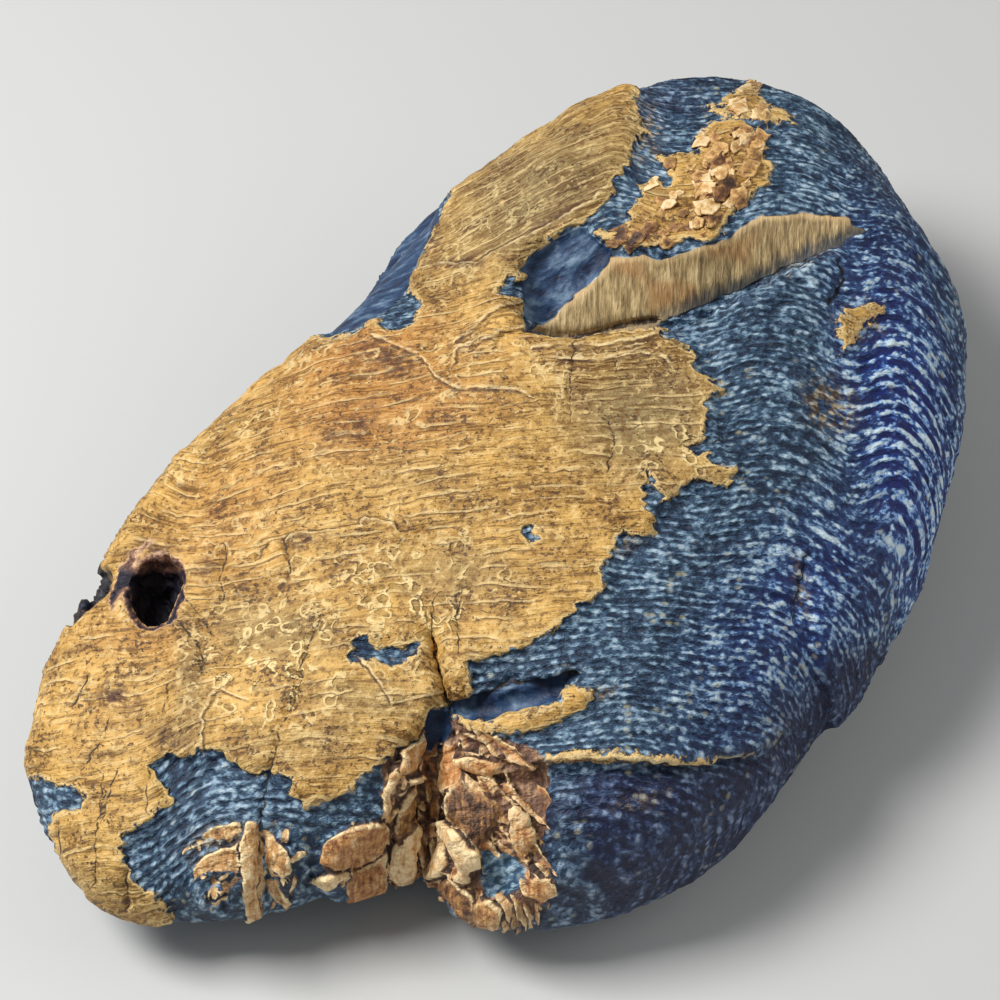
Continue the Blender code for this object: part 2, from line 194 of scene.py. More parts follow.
# The crust: a sheet of paler, ochre wood, harder than what lies under it, which the water has
# stripped from the thick end and the near side. Its ragged edge follows the layers.
CRUST = (
    (-30, 24.8), (-25.5, 24.3), (-20.7, 25.8), (-18.1, 27.4), (-17.8, 25.8), (-15.9, 25.2), (-13.7, 25.6),
    (-12.4, 27.3), (-12.3, 29.7), (-14.7, 31.9), (-11.4, 37.5), (-8.7, 43.2), (-7.2, 45.8), (-5.7, 52.5),
    (6, 61.5), (20.4, 63), (20.4, 58.9), (20.8, 57.6), (20.6, 55.9), (21.8, 55.2), (19.8, 53.1),
    (19.5, 51), (18.3, 49.2), (16.8, 47.4), (16.1, 45.6), (14.7, 43.5), (12.2, 41.2), (10.2, 40.8),
    (6.9, 38.2), (4.3, 36.6), (3.1, 34.5), (4.2, 33.6), (3, 32.4), (1.5, 33.6), (-0.4, 31.6), (0.8, 30.4),
    (3.1, 30), (3.6, 25.5), (7.5, 24.3), (13.2, 24.6), (15.3, 25.1), (23.7, 26.4), (24.6, 25.5),
    (24.4, 24.3), (27.8, 22.5), (29.5, 21.6), (28.6, 20.1), (31.9, 17.6), (34.2, 16.3), (31.6, 15.3),
    (30.8, 13.2), (31, 12), (30.6, 10.8), (30.9, 9), (28.2, 7.9), (30, 6.6), (32.1, 6.8), (32.4, 5.5),
    (34.9, 5), (35.2, 3.8), (33.9, 1.6), (30.9, 3.1), (29.5, 3.4), (28.2, 2.7), (27, 1.3), (24.1, -0.4),
    (23.1, 1.5), (22.5, 4.2), (21.4, 0.9), (21.9, -1.2), (23.2, -2.7), (23.4, -4.5), (21.9, -5.8),
    (18.3, -4.8), (17.6, -5.7), (16.9, -7.6), (15.3, -10.5), (15.1, -12.8), (13.8, -14.5), (12, -15.9),
    (9.9, -18.3), (4.5, -21.3), (0, -23.4), (-4.8, -24.4), (-3.9, -28.5), (-4.2, -29.8), (-7.3, -30.1),
    (-9, -31.5), (-10.8, -31.6), (-12, -35.7), (-15.3, -37.2), (-18.1, -39.9), (-20.1, -40.8),
    (-21, -42.9), (-25.5, -45), (-29.1, -46.2), (-30.4, -45), (-32.1, -41.4), (-34.2, -40.8),
    (-36.3, -41.4), (-39.9, -39.1), (-42.3, -37.5), (-44.4, -37.4), (-45.6, -38.5), (-50.1, -38.5),
    (-52, -39.8), (-51.3, -41.7), (-50.1, -42.9), (-48.4, -45.9), (-51.6, -46.8), (-54.3, -49.2),
    (-56.7, -50.7), (-56.2, -54.3), (-53.1, -57.8), (-49.5, -60.9), (-50.1, -69), (-81, -69), (-81, -9),
    (-66, -6), (-48, 12),
)
# Where it has come away: at the thin end's rim, in the pit, and a chip
BARE_PATCHES = (
    ((-72, -41.7), (-67.2, -42.4), (-62.4, -43.5), (-61.8, -44.7), (-62.7, -46.2), (-66.6, -46.9),
     (-67.2, -48.8), (-66.8, -52.8), (-65.1, -56.4), (-62.4, -59.1), (-66, -63), (-75, -57)),
    ((-22.5, -24), (-22.2, -22.5), (-21.3, -21), (-19.8, -20.4), (-18.3, -22.5), (-16.2, -22.1),
     (-14.7, -22.5), (-13.2, -21.6), (-12, -21.9), (-12.9, -23.4), (-16.2, -24.9), (-18, -24),
     (-21.6, -24.6)),
    ((3.8, -4.8), (4.8, -4.2), (6, -5), (5.5, -6.3), (4.5, -6.8)),
)
# Loose remains of it beside its edge: the flakes above the trough, the ridge, the ledge along the near
# side, and a spot on the thick end
REMAINS = (
    ((23.6, 51.6), (26.4, 51.8), (28.5, 52.2), (29.7, 51.9), (29.5, 54.1), (31.8, 56.4), (35.2, 56.9),
     (38.2, 55.4), (39.8, 54.3), (40.5, 52.5), (39.3, 51), (41.5, 49.9), (39.6, 47.1), (37.2, 45.6),
     (35.2, 43.5), (32.7, 40.2), (30.9, 38.5), (28.5, 39.3), (25.8, 38.1), (18.8, 37.9), (14.7, 39.3),
     (13.8, 40.6), (16.8, 40.2), (18.9, 40.5), (19.2, 42.6), (21.4, 45.3), (21.1, 46.8), (22.5, 48.3),
     (24, 47.9), (25.1, 46.2), (26.1, 47.1), (25.2, 49.8)),
    ((30.6, 59.5), (32.1, 59.1), (33.9, 58.5), (33.3, 60.4), (35.7, 61.3), (37.8, 62.7), (38.5, 61.5),
     (38.7, 60), (41.4, 58.5), (43.9, 57.1), (43.2, 56.4), (41.4, 56.9), (39.9, 55.9), (37.2, 57.4),
     (35.7, 57.1), (32.4, 57.8)),
    ((-6.5, -32.1), (-5.2, -33), (-1.2, -33.3), (1.5, -32.1), (4.8, -31.2), (7.2, -30.8), (9.4, -29.5),
     (9.9, -28.5), (12, -28.1), (13.5, -28.5), (14.4, -30), (12.6, -31.5), (10.2, -32.7), (7.2, -34),
     (5.7, -34.6), (0.8, -34.9), (-3.3, -35.1), (-5.7, -33.8)),
    ((6.4, -38.7), (12, -38), (18, -37.8), (24, -38.3), (31, -38), (34, -38.6), (26, -39.3), (18, -38.9),
     (12, -39.2), (6.8, -40)),
    ((51.4, 28.2), (53.2, 29.2), (55.5, 29.5), (57.3, 29.1), (57.6, 27.6), (55.8, 26.7), (54, 25.5),
     (52.5, 23.2), (51, 22.2), (50.7, 24.8)),
)
CRUST_STEP, CRUST_STEP_WIDTH = 0.55, 0.7  # the crisp part of its edge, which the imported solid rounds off
FAR_EDGE = 30.0  # height of its border on the far side, which the drawing doesn't show
FAR_BEARING, FAR_SPAN = 152.0, 52.0  # the middle of that stretch of border, and half its width, in degrees
NOWHERE = -50.0  # what a region's distance reads on the sides that the drawing doesn't show
SHEET, SHEET_LIP = 2.3, 0.26  # how thick its sheets are across the layers, and how high each one's end is


def to_line(line, place):
    """How far each place is from a polyline, and on which side: + on the left of its direction."""
    nearest = np.full(len(place), 1e9)
    side = np.zeros(len(place))
    for start, end in zip(line[:-1], line[1:]):
        start, way = np.array(start, float), np.subtract(end, start).astype(float)
        gone = place - start
        t = np.clip(gone @ way / (way @ way), 0, 1)
        gap = np.linalg.norm(gone - t[:, None] * way, axis=1)
        closer = gap < nearest
        nearest = np.where(closer, gap, nearest)
        side = np.where(closer, np.sign(way[0] * gone[:, 1] - way[1] * gone[:, 0]), side)
    return nearest, side


def within(ring, place):
    """How far each place lies inside a closed ring of corners, negative outside it."""
    corners = np.array(ring + ring[:1], float)
    crossings = np.zeros(len(place), int)
    for (xa, ya), (xb, yb) in zip(corners[:-1], corners[1:]):
        if ya != yb:
            spans = (ya > place[:, 1]) != (yb > place[:, 1])
            crossings += spans & (place[:, 0] < xa + (place[:, 1] - ya) * (xb - xa) / (yb - ya))
    gap, _ = to_line(corners, place)
    return np.where(crossings % 2, gap, -gap)


ragged = place.copy()  # the drawing, torn along the layers: outlines read on it come out ragged
ragged[:, 0] += 1.1 * swell(grain, (1.1, 7.0, 7.0), 21) + 0.5 * swell(points, 1.4, 22)
ragged[:, 1] += 0.4 * swell(points, 3.0, 23) + 0.4 * swell(points, 1.2, 24)
seen = shown > 0


def region(ring, tear=1.0):
    """How far each point lies inside a ring of the drawing, with its edge torn more or less."""
    reach = np.full(len(points), NOWHERE)
    reach[seen] = within(ring, (place + tear * (ragged - place))[seen])
    return reach


crust = region(CRUST)
for ring in REMAINS:
    crust = np.maximum(crust, region(ring))
for ring in BARE_PATCHES:
    crust = np.minimum(crust, -region(ring))
bearing = np.degrees(np.arctan2(points[:, 1], points[:, 0]))
beside = FAR_SPAN - np.abs((bearing - FAR_BEARING + 180) % 360 - 180)
far_crust = np.minimum(points[:, 2] - FAR_EDGE, beside * 0.6) + 4.0 * swell(points, 16.0, 25)
far_crust += swell(points, 4.0, 26)
crust = np.maximum(crust, NOWHERE / 5) * shown + far_crust * (1 - shown)
on_crust = step(crust / CRUST_STEP_WIDTH + 0.5)
# Its sheets lie over each other like shingles. Each ends in a low ledge that runs along the layers.
sheet = layer / SHEET + 0.5 * swell(grain, (5.0, 16.0, 16.0), 34) + 0.14 * swell(points, 1.9, 35)
shingle = sheet - np.floor(sheet)
shingle = (1 - shingle) * step(shingle / 0.14)
relief += CRUST_STEP * on_crust
relief += on_crust * (
    0.18 * swell(grain, (2.6, 26.0, 26.0), 31)
    + 0.12 * swell(grain, (1.2, 9.0, 9.0), 32)
    + 0.16 * swell(points, 2.2, 33)
    + 0.35 * swell(points, 6.5, 37)
    + SHEET_LIP * shingle * step((swell(grain, (4.0, 12.0, 12.0), 36) + 0.1) / 0.5)
)

# The slate-blue wood under the crust: soft spring wood worn down between the harder ribs of autumn
# wood, which are broken along their length into beads
RIB_PITCH = 1.35  # mm between ribs, measured across the layers
# Where knots made the ribs twist like rope: middle, direction, half length and half width
ROPEY_MIDDLE, ROPEY_WAY, ROPEY_LENGTH, ROPEY_WIDTH = (39, 31), (0.95, 0.31), 18, 8
# Smooth places in it, where it split clean: the hollow at the trough's head, the facet under the
# crust's overhang, and the blue wedge at the fissure's foot
SMOOTH = (
    ((3.6, 29.4), (3, 32.2), (4.2, 33.6), (3.1, 34.5), (4.5, 36.6), (7.2, 38.5), (10.8, 40.6),
     (12.3, 41.1), (15, 38.7), (16.8, 37.4), (16.5, 35.7), (12, 31.3), (7.2, 27), (5.1, 26.1),
     (3.9, 27.3)),
    ((-7, -30.4), (-3, -30), (-1.5, -29.1), (0, -27.6), (1.6, -26.6), (3.3, -27.6), (7.2, -27.6),
     (8.4, -27), (11.2, -26.4), (9.9, -28.2), (9.4, -29.5), (7.2, -30.8), (4.8, -31.2), (1.5, -32.1),
     (-1.2, -33.3), (-5.2, -33), (-7, -31.8)),
    ((-10.8, -31.6), (-8.2, -31.5), (-7.3, -33.3), (-7.6, -35.4), (-9, -37.5), (-11.1, -37.8),
     (-11.4, -36)),
)
SMOOTH_DEPTH = 0.8  # mm that the water took out there
# The bulge of clean wood behind the neck, which stays out
LOBE = (
    (-28, 24.6), (-22.5, 25.3), (-17.2, 28), (-13.8, 31.5), (-10.5, 39), (-7.9, 46), (-9, 50), (-18, 46),
    (-30, 30),
)
ribs = np.sin(2 * np.pi * layer / RIB_PITCH + 2.0 * swell(grain, (3.0, 9.0, 9.0), 41))
ropey = bump((place - ROPEY_MIDDLE) @ ROPEY_WAY / ROPEY_LENGTH)
ropey = ropey * bump((place - ROPEY_MIDDLE) @ (-ROPEY_WAY[1], ROPEY_WAY[0]) / ROPEY_WIDTH) * shown
relief += (1 - on_crust) * (
    0.16 * ribs
    + 0.22 * swell(grain, (0.9, 2.2, 2.2), 42)
    + 0.35 * swell(grain, (2.6, 7.0, 7.0), 43)
    + 0.9 * ropey * swell(np.stack([across - 1.4 * up, up + 0.5 * across, 0 * up], 1), (7.0, 1.7, 1.0), 44)
)
smooth = np.max([region(ring, 0.3) for ring in SMOOTH], axis=0)
lobe = np.where(shown > 0.02, region(LOBE, 0.2), NOWHERE)
chips_in = 0.35 * np.abs(swell(points, (3.5, 3.5, 3.5), 45)) + 0.25 * np.abs(swell(points, 1.7, 46))
relief *= 1 - 0.85 * step(np.maximum(smooth, lobe) / 0.6 + 0.5)
relief -= (SMOOTH_DEPTH + chips_in) * step(smooth / 0.5)
crust = np.where(lobe > -0.3, np.minimum(crust, -0.4), crust)
smooth = np.maximum(smooth, lobe)

# The trough: where a branch tore out. Its far wall is torn wood with short upright fibres, orange
# brown above and dark teal at the foot, under a near lip. The lip's black shadow is painted, as a dark
# line in a groove just below it.
WALL = (
    (6.8, 26.7), (12, 31.5), (16.3, 35.4), (16.8, 36.4), (21, 36.6), (24, 35.9), (27, 37), (32.2, 38.5),
    (34.2, 39.3), (35.7, 40.8), (38.7, 42.6), (45, 43), (51.8, 42.6), (54.6, 40), (50.7, 38.1),
    (45.9, 36.3), (40.5, 33.6), (35.2, 31.2), (30, 29.2), (23.2, 26.1), (15, 24.8), (9, 24.3),
    (4.8, 25.3),
)
WALL_FOOT = (
    (2, 26), (9, 24.3), (15, 24.8), (23.2, 26.1), (30, 29.2), (35.2, 31.2), (45.9, 36.3), (54.6, 40),
)
on_drawing = np.stack([across, up, 0 * up], 1)
wall = region(WALL, 0.8)
foot, _ = to_line(WALL_FOOT, place)
on_wall = step(wall / 0.6 + 0.5)
relief = relief * (1 - on_wall) + on_wall * 0.16 * swell(on_drawing, (0.9, 6.0, 1.0), 61)

# The broken corner: below the crust the wood split into plates round a fissure. Each plate tilts up to
# a sharp edge, with a painted highlight along that edge and a painted shadow in the gap beside it, over
# brown rubble. Splinters lie between the plates.
CORNER = (
    (-10.8, -31.8), (-7.2, -31.8), (-5.7, -33.6), (-3, -35.2), (0.8, -35.7), (4.5, -36.8), (7.2, -39.8),
    (7.2, -45), (6, -52.5), (8.4, -57), (4.5, -63.8), (-4.5, -65.2), (-9, -59.2), (-12, -57.8),
    (-17.2, -60), (-24, -63.8), (-23.2, -60), (-23.1, -57.8), (-26.2, -55.5), (-27, -54), (-26.2, -51.4),
    (-22.5, -48.9), (-17.6, -48), (-17.7, -44.4), (-18, -41.2), (-15.6, -37.8), (-12.3, -36),
)
PALE_PATCH = (
    (-2.7, -53.2), (-0.4, -52.2), (1.8, -53.4), (3.3, -54.9), (5.1, -55.8), (3, -58.2), (0.8, -59.7),
    (-3, -60), (-3.3, -58.2), (-3.6, -55.5),
)
# Plates: ring on the drawing, height, the way it rises in degrees, slope, how pale it is, and how red
PLATES = (
    (((-6.8, -42.4), (-5.2, -41.5), (-3, -43.5), (-0.3, -45.4), (0, -47.2), (-1.5, -49.8), (-3, -52.5),
     (-4.5, -51.9), (-6.3, -49.8), (-7.5, -47.2), (-7.9, -45)), 0.6, 120, 0.1, -0.6, 0.0),
    (((-8.2, -36.8), (-6.8, -36.8), (-5.7, -40.5), (-6, -42.8), (-7.8, -44.2), (-9, -42.8),
     (-8.5, -39.8)), 0.5, 200, 0.12, 0.25, 0.9),
    (((-6.3, -38.5), (-3.3, -38.5), (-0.6, -39.4), (-0.3, -40.8), (-2.4, -41.2), (-4.5, -40.8),
     (-6, -39.8)), 1.1, 100, 0.15, 0.45, 0.8),
    (((-5.4, -41.2), (-3.6, -42.9), (-1.8, -45), (-3, -45.3), (-4.8, -43.5)), 0.9, 60, 0.1, 0.2, 0.4),
    (((-3.3, -41.2), (-1.5, -40.8), (0, -43.2), (-1.2, -44.1)), 0.9, 60, 0.1, 0.6, 0.5),
    (((-10.2, -48.4), (-9, -47.9), (-7.5, -48), (-6.6, -49.5), (-4.8, -51.3), (-3.4, -52.5),
     (-3.3, -54.3), (-4.5, -55.2), (-4.5, -57), (-5.7, -57.8), (-6.8, -56.7), (-6, -54.9), (-6.6, -52.8),
     (-7.5, -51), (-8.4, -49.8)), 1.5, 45, 0.12, 0.9, 0.3),
    (((-9.6, -49.6), (-8.1, -50.7), (-7.5, -52.5), (-7.2, -54.9), (-8.4, -56.4), (-10.2, -57),
     (-11.1, -55.8), (-9.9, -54), (-9, -52.5), (-9, -51)), 1.2, -30, 0.12, 0.75, 0.35),
    (((-12.3, -47.7), (-12.3, -52.5), (-12.6, -56.7), (-14.7, -57.9), (-16.5, -56.7), (-16.8, -54.3),
     (-16.2, -51.9), (-14.7, -50.1)), 1.1, 130, 0.14, 0.75, 0.3),
    (((-12, -42.4), (-12.2, -46.8), (-14.4, -49.8), (-15.6, -50.7), (-16.1, -48.8), (-15, -46.5),
     (-13.8, -44.2)), 0.6, 150, 0.08, 0.0, 0.1),
    (((-14.5, -42.9), (-13.5, -41.7), (-12, -40.8), (-11.8, -42.1), (-13.7, -42.9)), 1.3, 90, 0.1, 0.8,
     0.5),
    (((-17.7, -44.4), (-16.8, -41.2), (-15.4, -40.2), (-15, -41.2), (-16.2, -43.5), (-16.5, -45.8),
     (-16.8, -49.5), (-17.6, -47.2)), 0.8, 160, 0.1, 0.45, 0.5),
    (((-15, -41.2), (-14.7, -37.5), (-12.3, -35.7), (-11.4, -33.3), (-11.4, -36.8), (-12.3, -39.8),
     (-13.8, -41.1)), 0.7, 135, 0.1, 0.25, 0.4),
    (((1.8, -46.5), (3, -46.2), (4.2, -48), (5.2, -50.2), (4.5, -52.5), (3, -53.7), (2.1, -52.2),
     (1.5, -49.5)), 0.9, 80, 0.12, 0.5, 0.6),
    (((-9, -57.8), (-6.8, -57), (-4.5, -59.2), (-3.3, -60.8), (-4.2, -63.8), (-6.6, -62.2)), 0.4, 30,
     0.05, -0.35, 0.1),
    (((-3.9, -60.3), (-1.2, -60), (0.3, -61.8), (-0.3, -64.5), (-3.3, -64.5)), 0.4, 30, 0.05, 0.1, 0.2),
    (((4.5, -57), (7.8, -56.7), (8.4, -58.8), (6.8, -60), (3.8, -59.7)), 0.4, 30, 0.05, 0.1, 0.6),
    (((-27, -54.3), (-26.2, -51.4), (-24.8, -50.2), (-22.5, -48.9), (-17.7, -48), (-16.8, -49.5),
     (-17.4, -51.9), (-18.3, -54.3), (-21.8, -54.9), (-24.8, -55.5)), 0.9, 100, 0.08, 0.05, 0.5),
    (((-28.8, -57.1), (-27, -56.1), (-23.2, -55.6), (-24.3, -57.6), (-25.8, -58.9)), 0.9, 90, 0.1, 0.9,
     0.2),
    (((-22.5, -55.8), (-19.2, -54.3), (-17.1, -52.2), (-16.8, -55.5), (-17.1, -58.8), (-20.1, -60.8),
     (-22.8, -62.2), (-23.2, -59.2)), 0.5, 60, 0.05, 0.0, 0.6),
    (((-46.8, -57.9), (-46.2, -55.8), (-44.2, -53.4), (-41.7, -52.2), (-39.3, -51.9), (-39, -55.8),
     (-41.2, -55.6), (-44.2, -55.6)), 0.5, 90, 0.12, 0.2, 0.1),
    (((-38.4, -48.1), (-36.3, -48.3), (-35.7, -51), (-35.5, -55.5), (-35.7, -62.7), (-38.1, -63),
     (-38.7, -58.5), (-39, -52.5)), 0.6, 180, 0.05, 0.4, 0.15),
    (((-35.4, -49.2), (-33.6, -50.7), (-32.1, -52.8), (-31.6, -55.2), (-32.7, -56.4), (-34.5, -55.2),
     (-35.2, -52.5)), 0.3, 0, 0.08, 0.3, 0.1),
    (((-35.4, -57), (-33.8, -57), (-31.2, -60.4), (-32.4, -60.9), (-34.5, -59.5)), 0.3, 0, 0.08, 0.3,
     0.1),
    (((-45, -50.7), (-43.2, -49.2), (-39.3, -48.3), (-39, -49.8), (-41.7, -51)), 0.2, 90, 0.1, 0.1, 0.0),
)
CORNER_DEPTH = 0.7  # mm that the rubble between the plates lies below the worn form
APEX = (-11.2, -30.0)  # where the splinters of the corner spread from
BLADE_COUNT, BLADES_FROM, BLADES_TO = 260, (-27, -64), (9, -32)
CHIP_COUNT, CHIPS_FROM, CHIPS_TO = 60, (-46, -61), (-31, -50)  # on the shelf beside the corner
CORNER_RANDOM = 8  # the draw that its splinters, and then the flakes, come from


def chip(at, long, wide, direction, random):
    """The outline of one random splinter: a lumpy oval round a place on the drawing."""
    turns = (np.arange(9) + random.uniform(-0.35, 0.35, 9)) * 2 * np.pi / 9
    spans = random.uniform(0.6, 1.15, 9)
    oval = np.stack([np.cos(turns) * long, np.sin(turns) * wide], 1) * spans[:, None]
    cos, sin = np.cos(direction), np.sin(direction)
    return [tuple(at + point) for point in oval @ np.array([[cos, sin], [-sin, cos]])]


corner = np.minimum(region(CORNER, 0.6), -region(SMOOTH[2], 0.3))
in_corner = step(corner / 0.8 + 0.5)
rubble = 0.35 * swell(points, 2.2, 62) + 0.2 * swell(points, 1.1, 63)
relief = relief * (1 - in_corner) + in_corner * (rubble - CORNER_DEPTH)
patch = region(PALE_PATCH, 0.8)
random = np.random.RandomState(CORNER_RANDOM)
blades = []
while len(blades) < BLADE_COUNT:
    at = random.uniform(BLADES_FROM, BLADES_TO)
    long, wide = random.uniform(1.6, 4.4), random.uniform(0.35, 0.85)
    clear = within(PALE_PATCH, at[None])[0] < -0.5 and within(SMOOTH[2], at[None])[0] < -1.0
    if at[0] > -4 and at[1] > -51:  # fewer on its worn right side
        clear = clear and random.uniform() < 0.3
    if clear and within(CORNER, at[None])[0] > wide:
        direction = np.arctan2(at[1] - APEX[1], at[0] - APEX[0]) + random.normal(0, 0.22)
        tilt = np.degrees(direction) + random.choice([-90, 90])
        height, slope = random.uniform(-0.7, 0.4), random.uniform(0.3, 0.9)
        pale, red = random.uniform((-0.8, 0.2), (0.7, 1))
        blades.append((chip(at, long, wide, direction, random), height, tilt, slope, pale, red))
for _ in range(CHIP_COUNT):
    at = random.uniform(CHIPS_FROM, CHIPS_TO)
    ring = chip(at, random.uniform(1.0, 2.8), random.uniform(0.3, 0.7), random.normal(1.1, 0.4), random)
    height, way, pale = random.uniform(-0.4, 0.1), random.uniform(0, 360), random.uniform(-0.6, 0.8)
    blades.append((ring, height, way, 0.5, pale, 0.1))
split = np.full(len(points), -9.0)  # how far each point is inside the uppermost blade
split_pale, split_red, split_side = np.zeros((3, len(points)))
near_side = np.flatnonzero(seen & (up < -30) & (across > -50) & (across < 12))
for ring, height, way, slope, pale, red in blades + list(PLATES):
    middle, half = np.mean(ring, 0), np.ptp(ring, 0) / 2 + 1.5
    close = near_side[(np.abs(place[near_side] - middle) < half).all(1)]
    reach = within(list(ring), (place + 0.4 * (ragged - place))[close])
    rising = np.array((np.cos(np.radians(way)), np.sin(np.radians(way))))
    rise = (place[close] - middle) @ rising
    raised = step(0.9 * rise / (np.ptp(np.array(ring) @ rising) / 2) + 0.5)  # 1 at its free edge
    cover = step(reach / (1.6 - 1.1 * raised) + 0.5)
    curl = 0.3 * bump(reach / 0.7) * raised
    relief[close] = relief[close] * (1 - cover) + cover * (height + rise * slope + curl)
    split[close] = np.where(reach > -0.35, reach, split[close])
    split_side[close] = np.where(reach > -0.35, raised, split_side[close])
    split_pale[close] = np.where(reach > -0.1, pale, split_pale[close])
    split_red[close] = np.where(reach > -0.1, red, split_red[close])

# Cracks that frost and drying opened, each where the stone has it, and two grooves under lips whose dark
# line is painted shadow: the line on the drawing, half its width, and its depth
CRACKS = (
    (((-27.4, -18), (-28.5, -21), (-29.5, -24), (-30.3, -28.5), (-32.2, -33), (-33.4, -36.8),
     (-34.8, -42), (-36.3, -49.5), (-36, -60.8)), 0.15, 0.7),
    (((-12.2, -42), (-12, -49.5), (-12.2, -57.3)), 0.25, 1.0),
    (((-10, -21), (-9.4, -24.3), (-8.7, -27), (-8.1, -30), (-7.2, -32.1)), 0.3, 1.0),
    (((11.2, 23.2), (10.7, 18), (10.5, 12)), 0.06, 0.3),
    (((17.6, 21.8), (17.2, 19.2)), 0.08, 0.3),
    (((-9.8, -15), (-10, -18.3), (-9.9, -21.8)), 0.06, 0.3),
    (((-6.5, -14.7), (-6.3, -18.8), (-6.1, -22.8)), 0.1, 0.4),
    (((16.5, 12), (17.2, 9), (16.9, 6.8), (15.9, 4.5)), 0.12, 0.4),
    (((-46.9, -15), (-45, -17.2), (-43.2, -20.2)), 0.15, 0.4),
    (((-48.3, -18), (-46.5, -20.2), (-45.3, -21.8), (-44.5, -24), (-45, -27.3)), 0.15, 0.4),
    (((-32.4, -6.3), (-31.9, -8.2), (-31.5, -10.8)), 0.15, 0.5),
    (((-40.8, -7.2), (-41.7, -10.8), (-41.7, -15)), 0.12, 0.4),
    (((-34.8, -6.8), (-36, -9)), 0.12, 0.4),
    (((-58.5, -33.3), (-60.3, -36.8), (-62.2, -40.5)), 0.15, 0.4),
    (((-59.5, -41.7), (-60.3, -49.5), (-60.6, -57.3)), 0.1, 0.4),
    (((-57.3, -40.8), (-58.8, -45), (-59.4, -47.7)), 0.12, 0.4),
    (((-52.5, -40.5), (-52.8, -43.5), (-52.8, -46.8)), 0.1, 0.3),
    (((-55.8, -54), (-55.8, -60.8)), 0.12, 0.5),
    (((-62.1, -27), (-63, -28.8), (-63.9, -30.8)), 0.12, 0.4),
    (((-49.5, -28.5), (-50.5, -31.8)), 0.12, 0.4),
    (((-65.7, -48.8), (-65.7, -53.2)), 0.1, 0.3),
    (((44.2, -18), (45, -13.5), (46.2, -8.2)), 0.15, 0.6),
    (((51.3, 35.7), (51.9, 33.8), (50.7, 31.2), (49.5, 29.7)), 0.25, 0.8),
    (((27.8, 8.1), (30.8, 8.7), (34.8, 9.2)), 0.1, 0.4),
    (((-52.5, -9.8), (-55.8, -10.5)), 0.1, 0.3),
    # The groove under the overhang above the facet, and next the groove under the trough's near lip: painted
    # shadow lines
    (((-7.2, -30.3), (-3, -30), (-1.5, -29.1), (0, -27.6), (1.6, -26.6), (3.3, -27.6), (7.2, -27.6),
     (11.2, -26.2)), 0.35, 1.2),
    (((4.2, 25.6), (7.5, 24.7), (11.5, 24.6), (15, 25.2), (19, 26.2), (23.5, 26.9)), 0.4, 1.2),
    (((3.6, 29.6), (3.5, 27.4), (4, 26)), 0.15, 0.5),
)
CRACK_SLOPE = 0.5  # mm over which a crack's sides go down
# Ledges, where one sheet of wood ends on the next: the line, with its higher side on the left of its
# direction, and the ledge's height. They are the folds and lips of the crust and the plates' edges.
LEDGES = (
    (((-18.8, 24), (-15, 22.5), (-11.2, 20.7), (-9, 17.2), (-6, 16.2), (3, 16.2), (4.8, 15)), 0.5),
    (((-32.4, -6.3), (-30, -5), (-26.7, -5.1), (-23.2, -4.5), (-20.7, -4), (-20.1, -2.7), (-18, -3.1),
     (-15.6, -3.6), (-15, -4.8)), -0.6),
    (((-11.2, 34.2), (-8.2, 35.1), (-3, 35.4), (0, 37.2), (4.5, 39.6), (9, 42.3), (13.5, 45),
     (15.6, 46.8)), -0.5),
    (((4.8, 22.2), (9, 22.8), (15, 22.5), (19.5, 23.2), (24, 24.4), (27.6, 22.5)), 0.35),
    (((9, 20.7), (15, 20.7), (21, 21.6), (24.3, 21.3), (25.8, 19.8)), 0.3),
    (((-6.8, 19.8), (-5.7, 22.5), (-3, 23.2), (0, 25.2), (3.3, 25.5)), 0.5),
    (((-6.3, 23.2), (-3.8, 24.8), (-1.5, 27), (0.8, 28.8), (3.3, 29.7)), 0.4),
    (((-21.3, -24), (-19.2, -25.8), (-17.4, -28.5), (-16.2, -30.9), (-13.5, -30), (-10.5, -29.4),
     (-9, -28.8)), 0.4),
    (((6, -39.4), (12, -38.8), (18, -38.6), (24, -39), (31, -38.6), (38, -37.6)), 0.9),
    (((-44.2, -37.5), (-44.1, -33), (-43.2, -30), (-41.7, -28.5), (-39.6, -29.5), (-37.5, -30.4)), 0.3),
)
LEDGE_FADE = 4.5  # how far behind a ledge its rise has faded out
crack, ledge = np.full((2, len(points)), 9.0)
crack_side, ledge_side = np.ones((2, len(points)))
torn = (place + 0.45 * (ragged - place))[seen]
for line, half_width, depth in CRACKS:
    gap, side = to_line(line, torn)
    cut = gap - half_width
    relief[seen] -= depth * (1 - step(cut / CRACK_SLOPE)) * shown[seen]
    crack_side[seen] = np.where(cut < crack[seen], side, crack_side[seen])
    crack[seen] = np.minimum(crack[seen], cut)
for line, height in LEDGES:
    gap, side = to_line(line, torn)
    side = side * np.sign(height)
    rise = 0.8 * abs(height) * (1 - step(gap / LEDGE_FADE))
    relief[seen] += rise * step(side * gap / 0.4 + 0.5) * shown[seen]
    ledge_side[seen] = np.where(gap < ledge[seen], side, ledge_side[seen])
    ledge[seen] = np.minimum(ledge[seen], gap)

